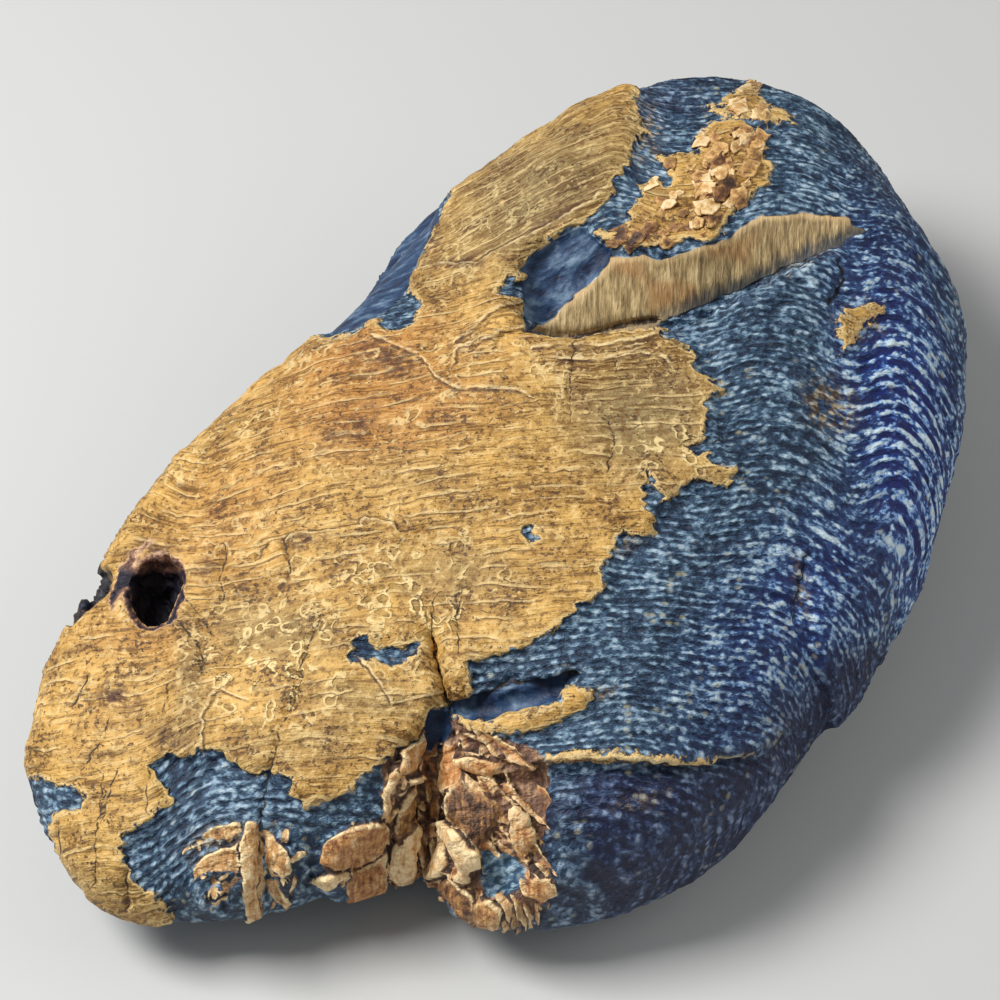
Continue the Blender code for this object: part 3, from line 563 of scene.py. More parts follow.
# The holes' inside: a knot's mouth, painted dark right down as shade, and a smaller hole that opens
# through the rim beside it, painted near black as shade. Rot had loosened the wood there before it
# turned to stone, so their walls are lumpy.
in_hole = []
for (_, _, radii), middle in zip(HOLES.values(), hole_middles):
    local = (points - middle) @ HOLE_FRAME.T / radii
    from_axis = np.hypot(local[:, 0], local[:, 1]) + 0.06 * swell(points, 1.8, 47)
    in_hole.append((1 - step((from_axis - 0.98) / 0.12)) * step((local[:, 2] + 0.7) / 0.3) * shown)
    in_hole[-1] = np.maximum(in_hole[-1], (from_axis < 1.5) * step(local[:, 2] / 0.2) * shown)
knot, notch = in_hole
relief *= 1 - 0.8 * np.maximum(knot, notch)
relief += np.maximum(knot, notch) * (0.9 * swell(points, 2.0, 48) + 0.4 * swell(points, 0.9, 49))
# The knot's painted shade is lighter on its ceiling
knot *= 1 - 0.62 * step((up + 11.8) / 1.8)  # its ceiling, above the drawing's -11.8, stays paler

# Stains, where iron, manganese and wear have changed the stone's colour, and painted light and shade:
# 'lit' is painted light at the thick end, 'blue' gives that end its own blue in a ramp drawn brighter as
# painted light, and 'dark' is painted shade over the slate's own navy, most of all on the near side.
# Each is given by middle, half length, half width, direction in degrees, and how strong
STAINS_AND_PAINTED_LIGHT = {
    "warm": (
        (-18, 15, 16, 9, 10, 0.8), (-40, -2, 12, 8, 50, 0.5), (-55, -22, 10, 4, 0, 0.4),
        (-20, 22, 12, 4, 20, 1.0), (-62, -33, 6, 10, 0, 0.3), (-8, 17, 6, 4, 0, 0.4),
    ),
    "brown": (
        (-60, -38.5, 7, 0.7, 3, 0.6), (-62, -44.5, 6, 0.6, -4, 0.5), (-58, -34, 6, 0.6, 4, 0.5),
        (-64, -50, 5, 0.6, -6, 0.4), (-17, 21, 5, 2, -20, 0.9), (-20.5, 11.5, 3.6, 1.4, 60, 0.8),
        (-29, -6.4, 3.6, 1.1, 8, 1.0), (-57.5, -30, 3.6, 1.8, -10, 1.0), (-62, -22.6, 5, 0.8, 10, 0.6),
        (-51, -35.4, 2.6, 0.8, -20, 0.8), (-45.5, -29, 1.6, 8, 0, 0.35), (-24.6, 9.2, 3, 0.8, -5, 0.7),
        (-25.5, 7.8, 2.4, 0.6, 20, 0.7), (-5, 35.2, 5.5, 0.9, 10, 1.0), (-10.5, 39, 1.2, 6, -20, 0.9),
        (6, 41, 8, 0.8, 32, 0.6), (-52.6, -8.4, 3.6, 2.0, 10, 0.9), (-43.6, -11, 1.6, 2.2, 0, 0.7),
        (-48, -46, 1.6, 0.8, 0, 0.4),
    ),
    "combed": (
        (18, 20, 18, 6, 5, 1.0), (-2, 8, 30, 5, 8, 0.6), (4, 42, 14, 6, 32, 0.8),
        (-30, 14, 16, 8, 30, 0.4),
    ),
    "grey": (
        (-34, -20, 9, 4.5, -8, 0.7), (-7, -11, 10, 4, 0, 0.5), (-46, -26, 2.4, 10, 5, 0.7),
        (-20, -30, 9, 3, -5, 0.7), (7, 46, 18, 8, 32, 1.0), (21, 13, 12, 10, 0, 1.0),
        (14, 22, 10, 2.6, 5, 0.3), (-29, -36.5, 10, 3, 5, 0.4), (-12.7, 4, 8, 3, 0, 0.35),
        (-48, -36, 4, 1.5, 0, 0.6), (-62, -57, 10, 3, -10, 0.6),
    ),
    "blue": ((62, 6, 9, 36, 8, 0.9), (48, -16, 12, 24, -40, 0.55), (57.5, 20, 3, 8, 0, 1.0)),
    "lit": ((61, 8, 9, 28, 8, 1.0), (46, 0, 7, 18, 0, 0.7)),
    "knocked": (
        (-12, -14, 15, 9, 0, 1.0), (-34, -25, 16, 11, 10, 1.0), (26, 7, 8, 5, 0, 0.9),
        (-2, 38, 12, 5, 35, 0.6), (-62, -30, 6, 8, 0, 0.5), (-38, -6, 8, 6, 0, 0.5),
    ),
    "ochre": (
        (49.5, 14.2, 4, 4, 0, 0.7), (54.4, 27, 3, 3, 0, 0.7), (45.2, -13, 1, 5, 10, 0.6),
        (17, -6, 5, 2.5, 20, 0.5), (21, -45, 4, 1.6, 20, 0.3), (15, -29, 2, 1, 10, 0.7),
        (22, 55, 2, 5, 0, 0.5), (44, 36, 6, 2, 20, 0.35), (-42, -52, 5, 3, 0, 0.5),
    ),
    "bright": (
        (-37, -25, 2.6, 2.2, 0, 1.0), (-62, -34, 9, 11, 0, 0.55), (-59, -25, 8, 4, 0, 0.5),
        (-56, -52, 10, 8, 0, 0.4), (-36, -28, 14, 5, 10, 0.35), (-24, -2, 14, 5, 15, 0.3),
    ),
    "dark": (
        (32, -50, 34, 12, 32, 1.0), (14, -47, 11, 6, 0, 0.8), (22, 60, 12, 4, 20, 0.6),
        (45, -38, 12, 10, 40, 0.8),
    ),
}
# The near side, under the pale ledge, is darker than the rest: its own navy, with painted shade where it
# faces down and away from the light
NEAR_SIDE = (
    (10, -40.6), (16, -39.2), (27, -39.4), (36, -38.4), (41, -33), (47, -25), (56, -20), (80, -35),
    (60, -80), (16, -80), (14, -62), (11, -50),
)
stains_and_painted_light = {}
for name, spots in STAINS_AND_PAINTED_LIGHT.items():
    stains_and_painted_light[name] = np.zeros(len(points))
    for x, y, half_length, half_width, direction, amount in spots:
        angle = np.radians(direction)
        gone = place + 0.8 * (ragged - place) - (x, y)
        lengthwise = gone @ (np.cos(angle), np.sin(angle)) / half_length
        crosswise = gone @ (-np.sin(angle), np.cos(angle)) / half_width
        tone_mark = amount * (1 - step(np.hypot(lengthwise, crosswise) / 1.4 - 0.15)) * shown
        stains_and_painted_light[name] = np.maximum(stains_and_painted_light[name], tone_mark)
stains_and_painted_light["dark"] = np.maximum(0.75 * stains_and_painted_light["dark"], 0.95 * step(region(NEAR_SIDE) / 4.5 + 0.25) * shown)

# The finished mesh: the carving put on, except where the stone lies on the floor, and the skin thinned
# where it is even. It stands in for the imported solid.
FACES = 190000
REST_EASE = 1.5  # mm above the floor where the carving has its full depth
relief *= step(points[:, 2] / REST_EASE)
carved = points + normals * relief[:, None]
carved[:, 2] = np.maximum(carved[:, 2], 0.0)
skin.vertices.foreach_set("co", (carved * MM).ravel())
DRIFTS = (5.0, 9.0, 2.4)  # mm over which the colours drift, and along the layers, by axis
DRIFTS_ALONG = ((3.0, 7.0, 7.0), (2.0, 6.0, 6.0), (1.6, 3.2, 3.2))
# What the finish reads from the mesh, in mm or from 0 to 1
READINGS = {
    "growth": (layer, across, up),
    "cover": (crust, smooth, knot),
    "trough": (wall, foot, 0 * foot),
    "corner": (corner, notch, patch),
    "split": (split, split_pale, split_red),
    "sheets": (sheet, stains_and_painted_light["ochre"], stains_and_painted_light["combed"]),
    "cracks": (crack_side * (crack + 0.2), crack, stains_and_painted_light["knocked"]),
    "ledges": (ledge_side * ledge, ledge, stains_and_painted_light["bright"]),
    "drift": [0.5 + 0.3 * swell(points, size, 70 + i) for i, size in enumerate(DRIFTS)],
    "drift_along": [0.5 + 0.3 * swell(grain, size, 75 + i) for i, size in enumerate(DRIFTS_ALONG)],
    "torn": (
        0.5 + 0.3 * swell(on_drawing, (1.3, 1.8, 1.0), 64), 0.5 + 0.3 * swell(points, 6.0, 84), split_side
    ),
    "crust_tones": (stains_and_painted_light["warm"], stains_and_painted_light["brown"], stains_and_painted_light["grey"]),
    "slate_tones": (stains_and_painted_light["blue"], stains_and_painted_light["lit"], stains_and_painted_light["dark"]),
    "bend": [0.55 * swell(points, 1.8, 80 + i) for i in range(3)],
}
for name, columns in READINGS.items():
    written = skin.attributes.new(name, "FLOAT_VECTOR", "POINT")
    written.data.foreach_set("vector", np.stack(columns, 1).ravel())
skin.calc_loop_triangles()
holder = bpy.data.objects.new("carved", skin)
collection.objects.link(holder)
thin = holder.modifiers.new("Thin", "DECIMATE")
thin.ratio = FACES / len(skin.loop_triangles)
mesh = mesh_of(holder)
mesh.shade_smooth()
stone = bpy.data.objects.new("silicified_wood_cobble", mesh)
collection.objects.link(stone)
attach(stone, "root")
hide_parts("petrified_wood")

# The finish: silicified wood, quartz in the place of the wood and coloured by iron, ground matt by sand
# and water. To the eye it is matt like unglazed clay, and all its life is in the colours: ochre crust,
# slate-blue wood and red-brown splits. Its roughness is the same all over: the faint waxy sheen on its
# clean splits is painted into their colour, and much of its fine light and shade, on lips, edges, gaps and
# in the holes, is painted too.
finish = bpy.data.materials.new("silicified_wood")
finish.use_nodes = True
tree = finish.node_tree
mesh.materials.clear()
mesh.materials.append(finish)
ROUGHNESS = 0.6  # worn quartz, with a little of its wax left
# The kinds of node: type, the sockets that are fed, the output that is used, and settings
KINDS = {
    "reading": ("Attribute", (), "Vector", {}),
    "place": ("TexCoord", (), "Object", {}),
    "axis": ("SeparateXYZ", (0,), 0, {}),
    "axes": ("CombineXYZ", (0, 1, 2), 0, {}),
    "first": ("SeparateColor", (0,), 0, {}),
    "resize": ("VectorMath", (0, "Scale"), 0, {"operation": "SCALE"}),
    "stretch": ("VectorMath", (0, 1), 0, {"operation": "MULTIPLY"}),
    "shift": ("VectorMath", (0, 1), 0, {"operation": "ADD"}),
    "along": ("VectorMath", (0, 1), "Value", {"operation": "DOT_PRODUCT"}),
    "noise": ("TexNoise", ("Vector", "Scale", "Detail", "Roughness"), 0, {}),
    "cells": ("TexVoronoi", ("Vector", "Scale", "Randomness"), "Distance", {}),
    "ramp": ("ValToRGB", (0,), 0, {}),
    "between": ("MapRange", (0, 1, 2, 3, 4), 0, {"interpolation_type": "SMOOTHSTEP"}),
    "mix": ("Mix", (0, 2, 3), 0, {"data_type": "FLOAT"}),
    "blend": ("Mix", (0, 6, 7), 2, {"data_type": "RGBA"}),
    "relief": ("Bump", ("Height", "Distance", "Strength"), 0, {}),
}
for kind, operation in (
    ("add", "ADD"), ("less", "SUBTRACT"), ("times", "MULTIPLY"), ("times_add", "MULTIPLY_ADD"),
    ("larger", "MAXIMUM"), ("size", "ABSOLUTE"), ("wave", "SINE"), ("fraction", "FRACT"),
):
    KINDS[kind] = ("Math", (0, 1, 2), 0, {"operation": operation})


def shade(code):
    """An sRGB hex colour as linear numbers."""
    values = [int(code[i : i + 2], 16) / 255 for i in (0, 2, 4)]
    return [v / 12.92 if v <= 0.04045 else ((v + 0.055) / 1.055) ** 2.4 for v in values] + [1.0]


def node(kind, *inputs, output=None, stops=(), **settings):
    """Adds a node to the finish, fed with numbers, hex colours or other nodes' outputs, and gives its own."""
    name, sockets, usual, fixed = KINDS[kind]
    made = tree.nodes.new("ShaderNode" + name)
    for setting, value in (fixed | settings).items():
        setattr(made, setting, value)
    for i, (at, code) in enumerate(stops):
        stop = made.color_ramp.elements[i] if i < 2 else made.color_ramp.elements.new(at)
        stop.position, stop.color = at, shade(code)
    for socket, value in zip(sockets, inputs):
        if isinstance(value, bpy.types.NodeSocket):
            tree.links.new(value, made.inputs[socket])
        else:
            made.inputs[socket].default_value = shade(value) if isinstance(value, str) else value
    return made.outputs[usual if output is None else output]


def surface(colour, height, depth):
    """Ends a finish: its colour, its roughness, and its finest relief, depth mm deep."""
    shader = tree.nodes["Principled BSDF"]
    shader.inputs["Roughness"].default_value = ROUGHNESS
    tree.links.new(colour, shader.inputs["Base Color"])
    tree.links.new(node("relief", height, depth * MM, 1.0), shader.inputs["Normal"])


vectors = {name: node("reading", attribute_name=name) for name in READINGS}
bend = vectors.pop("bend")
(
    (layer_at, across_at, up_at),
    (crust_at, smooth_at, knot_shade_at),
    (wall_at, foot_at, _),
    (corner_at, notch_shade_at, patch_at),
    (split_at, pale, red),
    (sheet_at, ochre, combed),
    (crack_at, crack_near, knocked),
    (ledge_at, ledge_near, bright),
    (drift_mid, drift_wide, drift_small),
    (wander_at, worn_at, facet_at),
    (torn_at, rusty, raised),
    (warm, brown, grey),
    (blue, lit, dark),
) = ([node("axis", vector, output=axis) for axis in range(3)] for vector in vectors.values())
spot = node("resize", node("place"), 1 / MM)
grained = node("axes", layer_at, node("along", spot, ACROSS), node("along", spot, THIRD))
# Patterns: where they are read, real size in mm by axis, detail and roughness. Wood cells are 0.03 to
# 0.2 mm wide, too fine to show, so they are drawn coarser, as bundles of cells 0.5 mm wide or more.
fine, mottle, lines, pores, fibres = (
    node("noise", node("stretch", where, [1 / size for size in sizes]), 1.0, detail, roughness)
    for where, sizes, detail, roughness in (
        (grained, (0.8, 1.9, 1.9), 3.0, 0.65),  # bundles of cells
        (spot, (1.2, 1.2, 1.2), 3.0, 0.7),  # blots of iron
        (grained, (0.5, 7.0, 7.0), 3.0, 0.7),  # the layers' own lines
        (grained, (0.5, 0.9, 0.9), 2.0, 0.7),  # vessels, cut open
        (node("axes", across_at, up_at), (0.5, 3.5, 1.0), 3.0, 0.65),  # torn fibres
    )
)
mottle_off = node("less", mottle, 0.5)

# Slate-blue wood: beads of pale quartz in rows, with navy between. Beads are rounded cells squeezed
# into rows, finer in the middle of the stone than at its thick end.
ROW_FINE, ROW_WIDE = 1.05, 2.2  # mm from row to row
BEAD = (0.9, 1.2, 1.2)  # mm across the layers and along them
wander = node("times", wander_at, 6.0)
row_fine, row_wide = (
    node("wave", node("times_add", layer_at, 2 * np.pi / pitch, wander)) for pitch in (ROW_FINE, ROW_WIDE)
)
# Where 'lit' is, at the thick end, the rows are wider and drawn 2.2 times as strong: painted light, with
# brighter beads and darker gaps
rows = node("mix", lit, row_fine, node("times", row_wide, 2.2))
cells = node("cells", node("stretch", grained, [1 / size for size in BEAD]), 1.0, 0.9)
tint = node("first", cells.node.outputs["Color"])
bead = node("between", cells, 0.6, 0.15)
ribbed = node("times_add", rows, 0.11, node("times", node("less", fine, 0.5), 1.6))
fleck = node("add", ribbed, 0.5)
for part, share in ((bead, 0.26), (tint, 0.14), (drift_mid, 0.5)):
    fleck = node("times_add", node("less", part, 0.5), share, fleck)
slate, slate_blue, slate_dark, slate_ochre, frosted = (
    node("ramp", fleck, stops=stops)
    for stops in (
        ((0.22, "0B2038"), (0.38, "33506A"), (0.6, "68849A"), (0.9, "B4C8D4")),
        # the thick end: bluer, and painted brighter, as light
        ((0.28, "04186A"), (0.44, "2A58BA"), (0.58, "8CBAF4"), (0.74, "E8FAFF")),  # the thick end
        # the near side: navy, darkened further by painted shade
        ((0.3, "030A34"), (0.46, "121E50"), (0.66, "34466E"), (0.9, "7A8AAA")),  # the near side
        ((0.3, "5A4420"), (0.5, "A88A50"), (0.75, "E2C68C")),  # stained with iron
        ((0.3, "2D4D67"), (0.5, "6486A0"), (0.7, "A9C4D2")),  # the corner's pale patch
    )
)
olive = node("times", node("between", tint, 0.72, 0.85, 0.0, 0.6), node("between", drift_wide, 0.5, 0.62))
for amount, over in (
    (node("times", blue, 0.9), slate_blue),
    (node("times", dark, 0.92), slate_dark),
    (node("between", node("size", node("less", fleck, 0.44)), 0.055, 0.015, 0.0, 0.7), "0A1A30"),
    (node("times", olive, bead), "A59A72"),
    (node("times", ochre, node("between", mottle, 0.46, 0.54)), slate_ochre),
):
    slate = node("blend", amount, slate, over)

# Ochre crust: tan wood with fine brown and pale lines along the layers, dark pores, and the curled
# pale rims of the small dents that knocks in the water have left. The lines and the blots of iron also
# raise its fine relief, so their brown and pale are partly the wood's own colour and partly painted
# shade in the low places and painted highlight on the high ones. Each sheet's end has a painted
# highlight over a painted shadow.
KNOCK = 2.5  # mm from one knock mark to the next
shades = node("times_add", drift_mid, 0.7, node("times", mottle, 0.3))
knocks = node("larger", knocked, node("between", drift_wide, 0.55, 0.66, 0.0, 0.6))
calm = node("larger", node("between", knocks, 0.9, 0.1, 0.45, 0.9), node("times", combed, 1.25))
reach = node("cells", node("shift", node("resize", spot, 1 / KNOCK), bend), 1.0, 1.0)
rims = node("between", node("size", node("less", reach, 0.42)), 0.13, 0.05)
rims = node("times", rims, node("times", knocks, node("between", drift_small, 0.42, 0.54)))
dents = node("times", node("between", reach, 0.36, 0.22), knocks)
pored = node("times_add", node("less", drift_mid, 0.5), 0.4, pores)
worn = node("between", worn_at, 0.46, 0.6)
shingle_at = node("fraction", sheet_at)
frayed = node("times_add", mottle_off, 3.0, crust_at)
# Lines and stains are broken up along the fibres, some of them only in part
broken, half_broken = node("between", fine, 0.36, 0.56), node("between", fine, 0.36, 0.56, 0.3, 1.0)
tan = node("ramp", shades, stops=((0.34, "A0742F"), (0.5, "C0944A"), (0.66, "DDAE5C")))
for amount, over in (
    (node("times", grey, 0.85), "80704A"),
    (node("times", warm, 0.65), "BC7430"),
    (node("times", bright, 0.6), "F0C26C"),
    (node("times", node("between", lines, 0.49, 0.36, 0.0, 0.9), calm), "64400F"),
    (node("times", node("between", lines, 0.54, 0.66, 0.0, 0.7), calm), "E8C686"),
    (node("between", mottle, 0.47, 0.36, 0.0, 0.75), "7A5420"),
    (node("between", mottle, 0.56, 0.68, 0.0, 0.6), "EECB8A"),
    (node("times", dents, 0.4), "7C6634"),
    (node("times", rims, 0.9), "F4D898"),
    (node("between", pored, 0.43, 0.34, 0.0, 0.85), "4A2C0E"),
    # Painted highlight on each sheet's end and painted shadow just below it, where 'worn' lets them show
    (node("times", node("between", shingle_at, 0.2, 0.08, 0.0, 0.5), worn), "F3D594"),
    (node("times", node("between", shingle_at, 0.86, 0.96, 0.0, 0.65), worn), "553410"),
    (node("times", brown, broken), "4A2412"),
    (node("between", frayed, 0.8, 0.35, 0.0, 0.7), "F0CE8C"),
    (node("between", frayed, 0.22, 0.04, 0.0, 0.8), "4A3014"),
):
    tan = node("blend", amount, tan, over)
crust_height = node("times_add", node("times", lines, calm), 0.5, node("times", mottle, 0.4))
crust_height = node("times_add", node("less", rims, dents), 0.16, crust_height)

# Torn wood of the trough's wall: bleached fibres, rusty in places, pale along the rim and dark teal at its
# foot, more of it further right
fibres = node("times_add", fibres, 0.6, node("times", torn_at, 0.4))
teal_foot = node("between", node("times_add", fibres, 5.0, foot_at), 5.4, 2.8)
wall_wood = node("ramp", fibres, stops=((0.36, "64502F"), (0.5, "A68C5E"), (0.64, "DCC08C")))
for amount, over in (
    (node("between", rusty, 0.5, 0.66, 0.0, 0.45), "B0763E"),
    (node("between", wall_at, 1.2, 0.3, 0.0, 0.6), "E2C08A"),
    (node("times", teal_foot, node("between", across_at, 16.0, 32.0, 0.25, 0.9)), "1E2F3A"),
):
    wall_wood = node("blend", amount, wall_wood, over)

# The broken corner's bed and its blades: red-brown wood, with a painted shadow in the gap beside each
# blade's raised edge and a painted highlight along that free edge
grit = node("times_add", fibres, 0.55, node("times", fine, 0.45))
bed = node("ramp", grit, stops=((0.38, "34201A"), (0.5, "7A5844"), (0.64, "C8A27A")))
bed = node("blend", node("between", patch_at, -0.2, 0.4), bed, frosted)
tone = node("times_add", pale, 0.3, node("times", node("less", fibres, 0.5), 1.1))
tone = node("times_add", mottle_off, 0.9, node("add", tone, 0.5))
blade = node("ramp", tone, stops=((0.22, "3C2618"), (0.4, "8E6440"), (0.56, "CA985A"), (0.8, "FCE4B2")))
blade = node("blend", node("times", red, 0.38), blade, "C86C28")
# Painted highlight along the raised free edge of each blade
edge = node("times", node("between", split_at, 0.6, 0.12), node("between", split_at, -0.05, 0.08))
edge = node("times", node("times", edge, raised), node("between", mottle, 0.4, 0.58, 0.4, 1.0))
blade = node("blend", edge, blade, "FFE6B0")
# Painted shadow in the gap beside each blade, used on its raised side
gap = node("times", node("between", split_at, -0.4, -0.2, 0.0, 0.8), node("between", split_at, 0.02, -0.1))

# Clean splits, the lips of the ledges, the cracks and the holes: smooth navy with a painted sheen on its
# facets, a painted highlight on each lip with a painted shadow below it, dark lines in the cracks that
# are painted shadow under the lips, a notch painted near black as shade, and a knot whose painted shade
# deepens from its paler ceiling down to near black
facets = node("times_add", facet_at, 0.6, node("times", fine, 0.4))
navy_with_painted_sheen = node("ramp", facets, stops=((0.38, "0A1A38"), (0.52, "284466"), (0.66, "70889E")))
near_ledge = node("between", ledge_near, 1.0, 0.6)
# Painted highlight along the upper side of each ledge's lip and painted shadow just below it
lip_highlight, lip_shadow = (
    node("times", node("between", ledge_at, *outer), node("between", ledge_at, *inner))
    for outer, inner in (((0.5, 0.2, 0.0, 0.6), (0.0, 0.1)), ((-0.5, -0.2, 0.0, 0.8), (0.05, -0.08)))
)
# Dark lines along the cracks; along the grooves under the overhang and the trough's lip they are painted
# shadow
crack_line = node("between", node("size", crack_at), 0.28, 0.08)
crack_line = node("times", crack_line, node("between", crack_near, 0.7, 0.4))
# Painted shade in the notch: near black, with a little of the split's colour
notch_near_black = node("blend", node("between", mottle, 0.46, 0.7, 0.0, 0.6), "080C1C", navy_with_painted_sheen)
# Painted shade in the knot: pale at its mouth and ceiling, near black down inside
HOLE_SHADE = ((0.1, "E0B894"), (0.28, "8A6048"), (0.48, "54403C"), (0.72, "2A2232"), (0.98, "100E1C"))
hollow = node("ramp", node("times_add", mottle_off, 1.1, knot_shade_at), stops=HOLE_SHADE)

# Each finish laid over the last, in the order in which the stone has them
bare = node("between", smooth_at, -0.1, 0.15)
walled = node("between", wall_at, -0.15, 0.15)
colour = slate
for amount, over in (
    (node("between", frayed, -0.06, 0.06), tan),
    (bare, navy_with_painted_sheen),
    (walled, wall_wood),
    (node("between", corner_at, -0.2, 0.2), bed),
    (node("between", split_at, -0.1, 0.05), blade),
    # From here the layers are mostly painted light and shade: the shadow beside each blade, the lips'
    # highlight and shadow, the dark crack lines, and the shade in the notch and the knot
    (node("times", gap, raised), "1E100C"),
    (node("times", node("times", lip_highlight, near_ledge), broken), "F6DDA6"),
    (node("times", node("times", lip_shadow, near_ledge), half_broken), "4A2C12"),
    (node("times", crack_line, node("between", fine, 0.36, 0.54, 0.15, 0.95)), "2A1A10"),
    (node("times", notch_shade_at, 0.95), notch_near_black),
    (node("between", knot_shade_at, 0.0, 0.25), hollow),
):
    colour = node("blend", amount, colour, over)
height = node("times", ribbed, 0.6)
for amount, over in (
    (node("between", crust_at, -0.3, 0.3), crust_height),
    (bare, node("times", facets, 0.7)),
    (walled, node("times", fibres, 0.7)),
):
    height = node("mix", amount, height, over)
surface(colour, height, 1.0)

# The flakes above the trough: thin pieces of the crust, split along the layers and still held at one
# edge. Each is a slab with sharp edges and a low crown that stands off the stone on one side.
BED_GRIP = 1.6  # mm that each slab reaches down into the stone
EDGE_STEP, EDGE_TEAR = 0.8, 0.16  # mm between the points of its edge, and how far they are torn about
WEAR, WEAR_RISE = 0.22, 0.12  # mm that its upper edge is rounded, in and up
CROWN = 0.22  # mm that its middle stands up
FLAKE_COUNT, FLAKES_FROM, FLAKES_TO = 75, (14, 37), (44, 62)
FLAKE_RANDOM = 4
stone_tree = BVHTree.FromObject(stone, bpy.context.evaluated_depsgraph_get())
FLAT = np.array([ACROSS, UP, BACK])


def landing(place):
    """The point of the stone, in mm, that a place on the drawing falls on."""
    aim = SIGHT_POINT + ACROSS * place[0] + UP * place[1] - EYE
    hit = stone_tree.ray_cast(Vector(EYE * MM), Vector(aim))[0]
    return None if hit is None else np.array(hit) / MM


def slab(bm, random, crown, ring, height, way, slope, paleness, redness):
    """Adds one slab over a ring of the drawing, lifted by height, rising along way by slope, and crowned."""
    edge = []
    for start, end in zip(ring, ring[1:] + ring[:1]):
        parts = max(1, int(np.hypot(*np.subtract(end, start)) / EDGE_STEP))
        for i in range(parts):
            mid = np.add(start, np.subtract(end, start) * i / parts)
            edge.append(mid + random.normal(0, EDGE_TEAR, 2))
    held = np.array([hit for hit in map(landing, edge) if hit is not None])
    if len(held) < 5:
        return
    local = (held - SIGHT_POINT) @ FLAT.T
    base = np.linalg.lstsq(np.c_[local[:, :2], np.ones(len(local))], local[:, 2], rcond=None)[0]
    lean = np.array((np.cos(np.radians(way)), np.sin(np.radians(way)))) * slope
    flat = local[:, :2] @ base[:2] + base[2]
    deep = 0.4 * flat + 0.6 * local[:, 2] + height + (local[:, :2] - local[:, :2].mean(0)) @ lean
    corners = SIGHT_POINT + local[:, :2] @ FLAT[:2] + deep[:, None] * BACK
    face = bm.faces.new([bm.verts.new(at * MM) for at in corners])
    face.normal_update()
    if face.normal.dot(Vector(BACK)) < 0:
        face.normal_flip()
    made = bmesh.ops.extrude_face_region(bm, geom=[face])
    top = next(part for part in made["geom"] if isinstance(part, bmesh.types.BMFace))
    top_edge = list(top.verts)
    for vertex in face.verts:
        vertex.co -= Vector(BACK) * BED_GRIP * MM
    bmesh.ops.inset_region(bm, faces=[top], thickness=WEAR * MM, depth=WEAR_RISE * MM)
    inner = list(top.verts) + bmesh.ops.poke(bm, faces=[top], offset=crown * MM)["verts"]
    tone = bm.verts.layers.float_vector["tone"]
    # Painted highlight on the rim of each slab's top, and painted shade at its foot in the stone
    for vertices, dark, rim in ((inner, 0.0, 0.0), (top_edge, 0.0, 1.0), (face.verts, 1.0, 0.0)):
        for vertex in vertices:
            vertex[tone] = (paleness - dark, redness, rim)


rows = []
while len(rows) < FLAKE_COUNT:
    at = random.uniform(FLAKES_FROM, FLAKES_TO)
    long = random.uniform(0.9, 2.2)
    if max(within(ring, at[None])[0] for ring in REMAINS[:2]) > 0.25 * long:
        ring = chip(at, long, long * random.uniform(0.5, 0.9), random.uniform(0.2, 0.9), random)
        height, way, slope = random.uniform(-0.1, 0.5), random.uniform(0, 360), random.uniform(0.0, 0.45)
        rows.append((ring, height, way, slope, random.uniform(-0.7, 0.6), random.uniform(0, 0.3)))
random = np.random.RandomState(FLAKE_RANDOM)
bm = bmesh.new()
bm.verts.layers.float_vector.new("tone")
for row in rows:
    slab(bm, random, random.uniform(0.3, 1.6) * CROWN, *row)
bmesh.ops.recalc_face_normals(bm, faces=bm.faces[:])
bmesh.ops.triangulate(bm, faces=bm.faces[:])
flake_mesh = bpy.data.meshes.new("crust_flakes")
bm.to_mesh(flake_mesh)
bm.free()
flakes = bpy.data.objects.new("crust_flakes", flake_mesh)
collection.objects.link(flakes)
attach(flakes, "root")

# Their finish: freshly split silicified wood, which no water has ground yet. It is as matt as the crust,
# paler on its faces, with a painted highlight along its rims and painted shade that darkens it to brown
# towards its foot, where it stands on the stone, and with streaks where the fibres ran.
chipped = bpy.data.materials.new("split_wood")
chipped.use_nodes = True
flake_mesh.materials.append(chipped)
tree = chipped.node_tree
spot = node("resize", node("place"), 1 / MM)
vector = node("reading", attribute_name="tone")
pale, red, rim = (node("axis", vector, output=axis) for axis in range(3))
# Bundles of fibres, drawn coarser than they are, and blots of iron: real size in mm, detail and roughness
streaks, blots = (
    node("noise", node("stretch", spot, [1 / size for size in sizes]), 1.0, detail, roughness)
    for sizes, detail, roughness in (((1.4, 1.4, 0.8), 3.0, 0.65), ((3.0, 3.0, 3.0), 2.0, 0.5))
)
tone = pale
for part, share in ((streaks, 2.0), (blots, 1.2)):
    tone = node("times_add", node("less", part, 0.5), share, tone)
tone = node("between", node("times_add", rim, 0.5, tone), -1.2, 1.3)
SPLIT = ((0.0, "1C100A"), (0.25, "543824"), (0.5, "A07646"), (0.75, "D8AC6A"), (1.0, "FBE4B4"))
surface(node("blend", node("times", red, 0.4), node("ramp", tone, stops=SPLIT), "C07030"), streaks, 0.6)

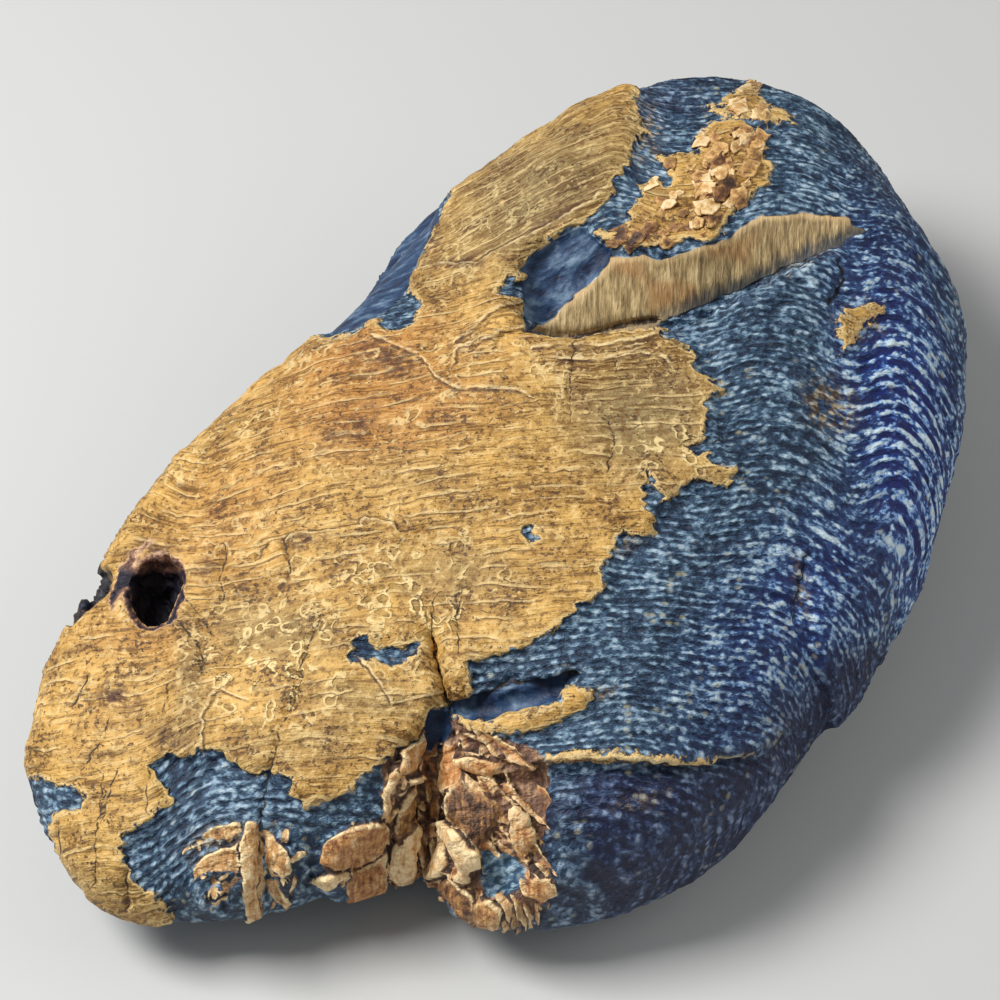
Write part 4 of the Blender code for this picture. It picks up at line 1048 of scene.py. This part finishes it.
# The floor: one wide sheet of pale matt paper, laid flat under the stone
FLOOR_REACH = 2.0  # m from its middle to its sides
PAPER, PAPER_ROUGHNESS = "C9C9C6", 0.9
sides = [(x * FLOOR_REACH, y * FLOOR_REACH, 0) for x, y in ((-1, -1), (1, -1), (1, 1), (-1, 1))]
floor_mesh = bpy.data.meshes.new("floor")
floor_mesh.from_pydata(sides, [], [(0, 1, 2, 3)])
floor = bpy.data.objects.new("floor", floor_mesh)
collection.objects.link(floor)
paper = bpy.data.materials.new("floor_paper")
paper.use_nodes = True
paper.node_tree.nodes["Principled BSDF"].inputs["Base Color"].default_value = shade(PAPER)
paper.node_tree.nodes["Principled BSDF"].inputs["Roughness"].default_value = PAPER_ROUGHNESS
floor_mesh.materials.append(paper)

# The light: two soft boxes that aim at the stone, the stronger one above and behind on the left, and a
# faint even light from all round
SOFT_BOXES = (("key", (-0.26, 0.26, 0.56), 0.26, 4.9), ("fill", (0.42, -0.4, 0.42), 0.5, 1.1))
AIM = (0, 0, 0.03)
ROUND, ROUND_STRENGTH = "F4F6FA", 0.25
scene = bpy.context.scene
scene.view_settings.view_transform = "Standard"
world = bpy.data.worlds.new("studio")
world.use_nodes = True
world.node_tree.nodes["Background"].inputs["Color"].default_value = shade(ROUND)
world.node_tree.nodes["Background"].inputs["Strength"].default_value = ROUND_STRENGTH
scene.world = world
for name, where, width, watts in SOFT_BOXES:
    box = bpy.data.lights.new(name, "AREA")
    box.size, box.energy = width, watts
    lamp = bpy.data.objects.new(name, box)
    lamp.location = where
    lamp.rotation_euler = (Vector(AIM) - Vector(where)).to_track_quat("-Z", "Y").to_euler()
    collection.objects.link(lamp)

# The camera: it stands at the drawing's eye and looks at the drawing's zero
DRAWING_WIDTH = 150.0  # mm across the picture, where the stone is
lens = bpy.data.cameras.new("camera")
lens.lens = lens.sensor_width * SIGHT_DISTANCE / DRAWING_WIDTH
lens.clip_start = 0.01
camera = bpy.data.objects.new("camera", lens)
stand = Matrix([ACROSS, UP, BACK]).transposed().to_4x4()
stand.translation = EYE * MM
camera.matrix_world = stand
collection.objects.link(camera)
scene.camera = camera
